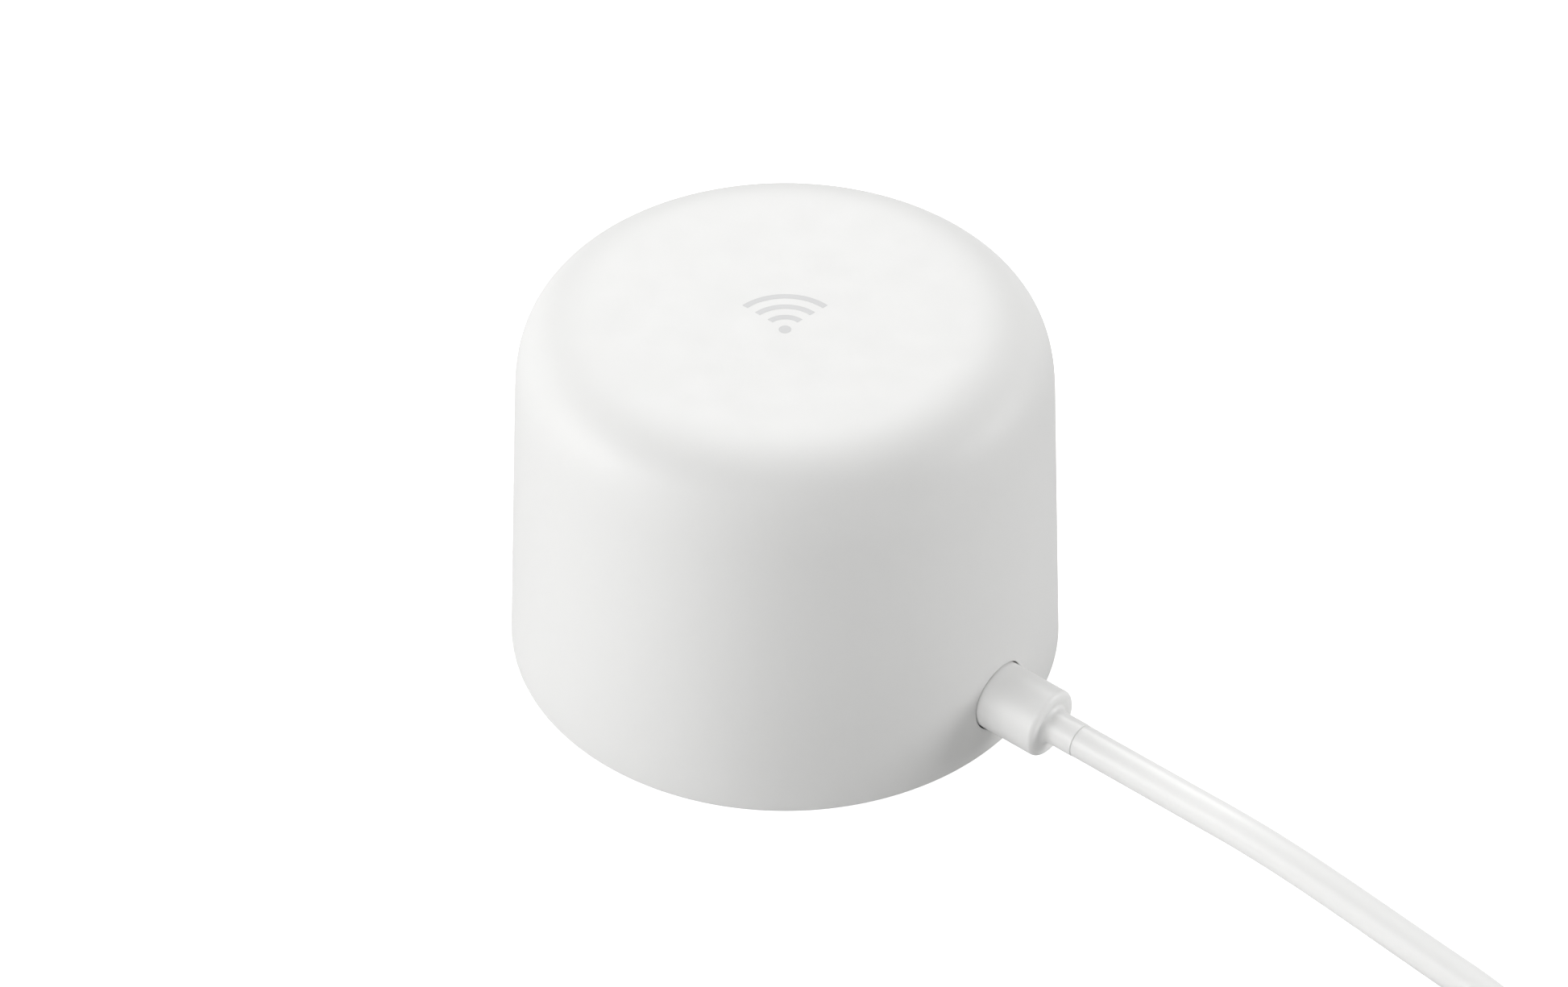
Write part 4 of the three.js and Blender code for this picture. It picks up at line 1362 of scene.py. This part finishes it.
    def make_far_body(self) -> bpy.types.Object:
        """The far plug's body: a slot-shaped moulding with soft edges and grip grooves."""
        low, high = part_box("far_plug_body")
        outer = slot_outline(high.y - low.y, high.z - low.z, 16)
        length, edge = high.x - low.x, 0.9 * MM
        sections = []
        for angle in np.radians(np.linspace(0, 90, 6)):
            sections.append((edge * (1 - math.sin(angle)) * 1.0,
                             shrunk(outer, edge * (1 - math.cos(angle)))))
        sections = sections[::-1]
        for groove in range(4):
            x = length * 0.55 + groove * 1.5 * MM
            for offset, depth in ((-0.35, 0), (-0.2, 0.22), (0.2, 0.22), (0.35, 0)):
                sections.append((x + offset * MM, shrunk(outer, depth * MM)))
        for angle in np.radians(np.linspace(0, 90, 6)):
            sections.append((length - edge * (1 - math.sin(angle)),
                             shrunk(outer, edge * (1 - math.cos(angle)))))
        sections = sorted(sections, key=lambda section: section[0])
        body = lofted("far_plug_moulding", sections)
        centre = Vector((low.x, (low.y + high.y) / 2, (low.z + high.z) / 2))
        body.data.transform(Matrix.Translation(centre))
        return body

    def make_far_neck(self) -> bpy.types.Object:
        """The far plug's tapered strain relief, with three rings of slots' ridges."""
        low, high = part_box("far_plug_neck")
        length = high.x - low.x + 0.3 * MM
        small, large = self.thickness / 2 + 0.15 * MM, (high.z - low.z) / 2
        profile = [(0, 0), (large, 0)]
        for ring in range(4):
            at = 1.2 * MM + ring * 2.0 * MM
            radius = large + (small - large) * at / length
            profile += [(radius, at), (radius - 0.3 * MM, at + 0.15 * MM),
                        (radius - 0.3 * MM, at + 0.75 * MM), (radius, at + 0.9 * MM)]
        profile += [(small, length - 0.2 * MM), (small - 0.2 * MM, length), (0, length)]
        start = (low.x - 0.3 * MM, (low.y + high.y) / 2, (low.z + high.z) / 2)
        return turned("far_plug_relief", profile, start, Axis.X, 72)

    def make_tie(self) -> bpy.types.Object:
        """The woven strap round the coil."""
        across = self.thickness * self.columns + 2 * 0.15 * MM
        high = self.thickness * 2 + 0.15 * MM
        corner, half = self.thickness / 2, self.tie_width / 2
        path: list[tuple[float, float]] = []
        for cx, cz, start in ((across / 2 - corner, high - corner, 90),
                              (-across / 2 + corner, high - corner, 180),
                              (-across / 2 + corner, corner, 270),
                              (across / 2 - corner, corner, 360)):
            path += fillet((cx, cz), corner, start - 90, start, 8)
        outline = np.array(path)
        normal = self.loop_normals(outline)
        verts, rows = [], len(outline)
        bands = ((half, 0.0), (half, 1.0), (0.0, 1.12), (-half, 1.0), (-half, 0.0))
        for point, out in zip(outline, normal):
            for along, lift in bands:
                spot = point + out * self.tie_thick * lift
                verts.append((spot[0], along, spot[1] + self.tie_thick * bands[2][1]))
        faces = sheet_faces(rows, len(bands), close_rows=True)
        tie = new_piece("coil_strap", verts, faces)
        recalculate(tie)
        rounded(tie, 0.18 * MM, 2, 50)
        spin = Matrix.Rotation(self.tie_angle, 4, "Z")
        out = Matrix.Translation((self.coil_r, 0, 0))
        tie.data.transform(Matrix.Translation((self.coil_x, self.coil_y, 0)) @ spin @ out)
        self.unwrap_tie(tie)
        return tie

    @staticmethod
    def loop_normals(outline: np.ndarray) -> np.ndarray:
        """Outward unit normals of a closed outline listed anticlockwise."""
        along = np.roll(outline, -1, 0) - np.roll(outline, 1, 0)
        normal = np.stack([along[:, 1], -along[:, 0]], 1)
        return normal / np.linalg.norm(normal, axis=1)[:, None]

    def unwrap_tie(self, tie: bpy.types.Object) -> None:
        """A UV map in millimetres: round the section and along its width."""
        layer = tie.data.uv_layers.new(name="UVMap")
        spin = Matrix.Rotation(-self.tie_angle, 4, "Z")
        for face in tie.data.polygons:
            for loop in face.loop_indices:
                point = tie.data.vertices[tie.data.loops[loop].vertex_index].co
                local = spin @ (point - Vector((self.coil_x, self.coil_y, 0)))
                layer.data[loop].uv = ((local.x + local.z) / MM, local.y / MM)

    def build(self) -> None:
        fit = self.wardrobe.fit
        line = self.centreline()
        cord = self.make_cord(line)
        fit(cord, "cord", LEAD, "cord_run", "cord_coil", "cord_tail")
        collar, neck = self.make_collar(), self.make_neck()
        tip = self.make_tip("plug_tip_shell", "plug_tip", True)
        far_body, far_neck = self.make_far_body(), self.make_far_neck()
        far_tip = self.make_tip("far_plug_tip_shell", "far_plug_tip", True)
        tie = self.make_tie()
        fit(collar, "plug", LEAD, "plug_collar")
        fit(neck, "cord", LEAD, "plug_neck")
        fit(tip, "plug_metal", LEAD, "plug_tip")
        fit(far_body, "plug", LEAD, "far_plug_body")
        fit(far_neck, "plug", LEAD, "far_plug_neck")
        fit(far_tip, "plug_metal", LEAD, "far_plug_tip")
        fit(tie, "tie", LEAD, "coil_tie")
        length = float(np.linalg.norm(np.diff(line, axis=0), axis=1).sum())
        LOG.info("the cord is %.3f m long", length)


def main() -> None:
    """Builds every piece in order."""
    logging.basicConfig(level=logging.INFO, format="%(name)s: %(message)s")
    studio = Studio()
    studio.place_camera()
    wardrobe = Wardrobe()
    wardrobe.dress_frame()
    PowerLead(wardrobe).build()
    Casing(wardrobe).build()
    Electronics(wardrobe).build()
    studio.light()
    studio.lay_floor()


if __name__ == "__main__":
    main()
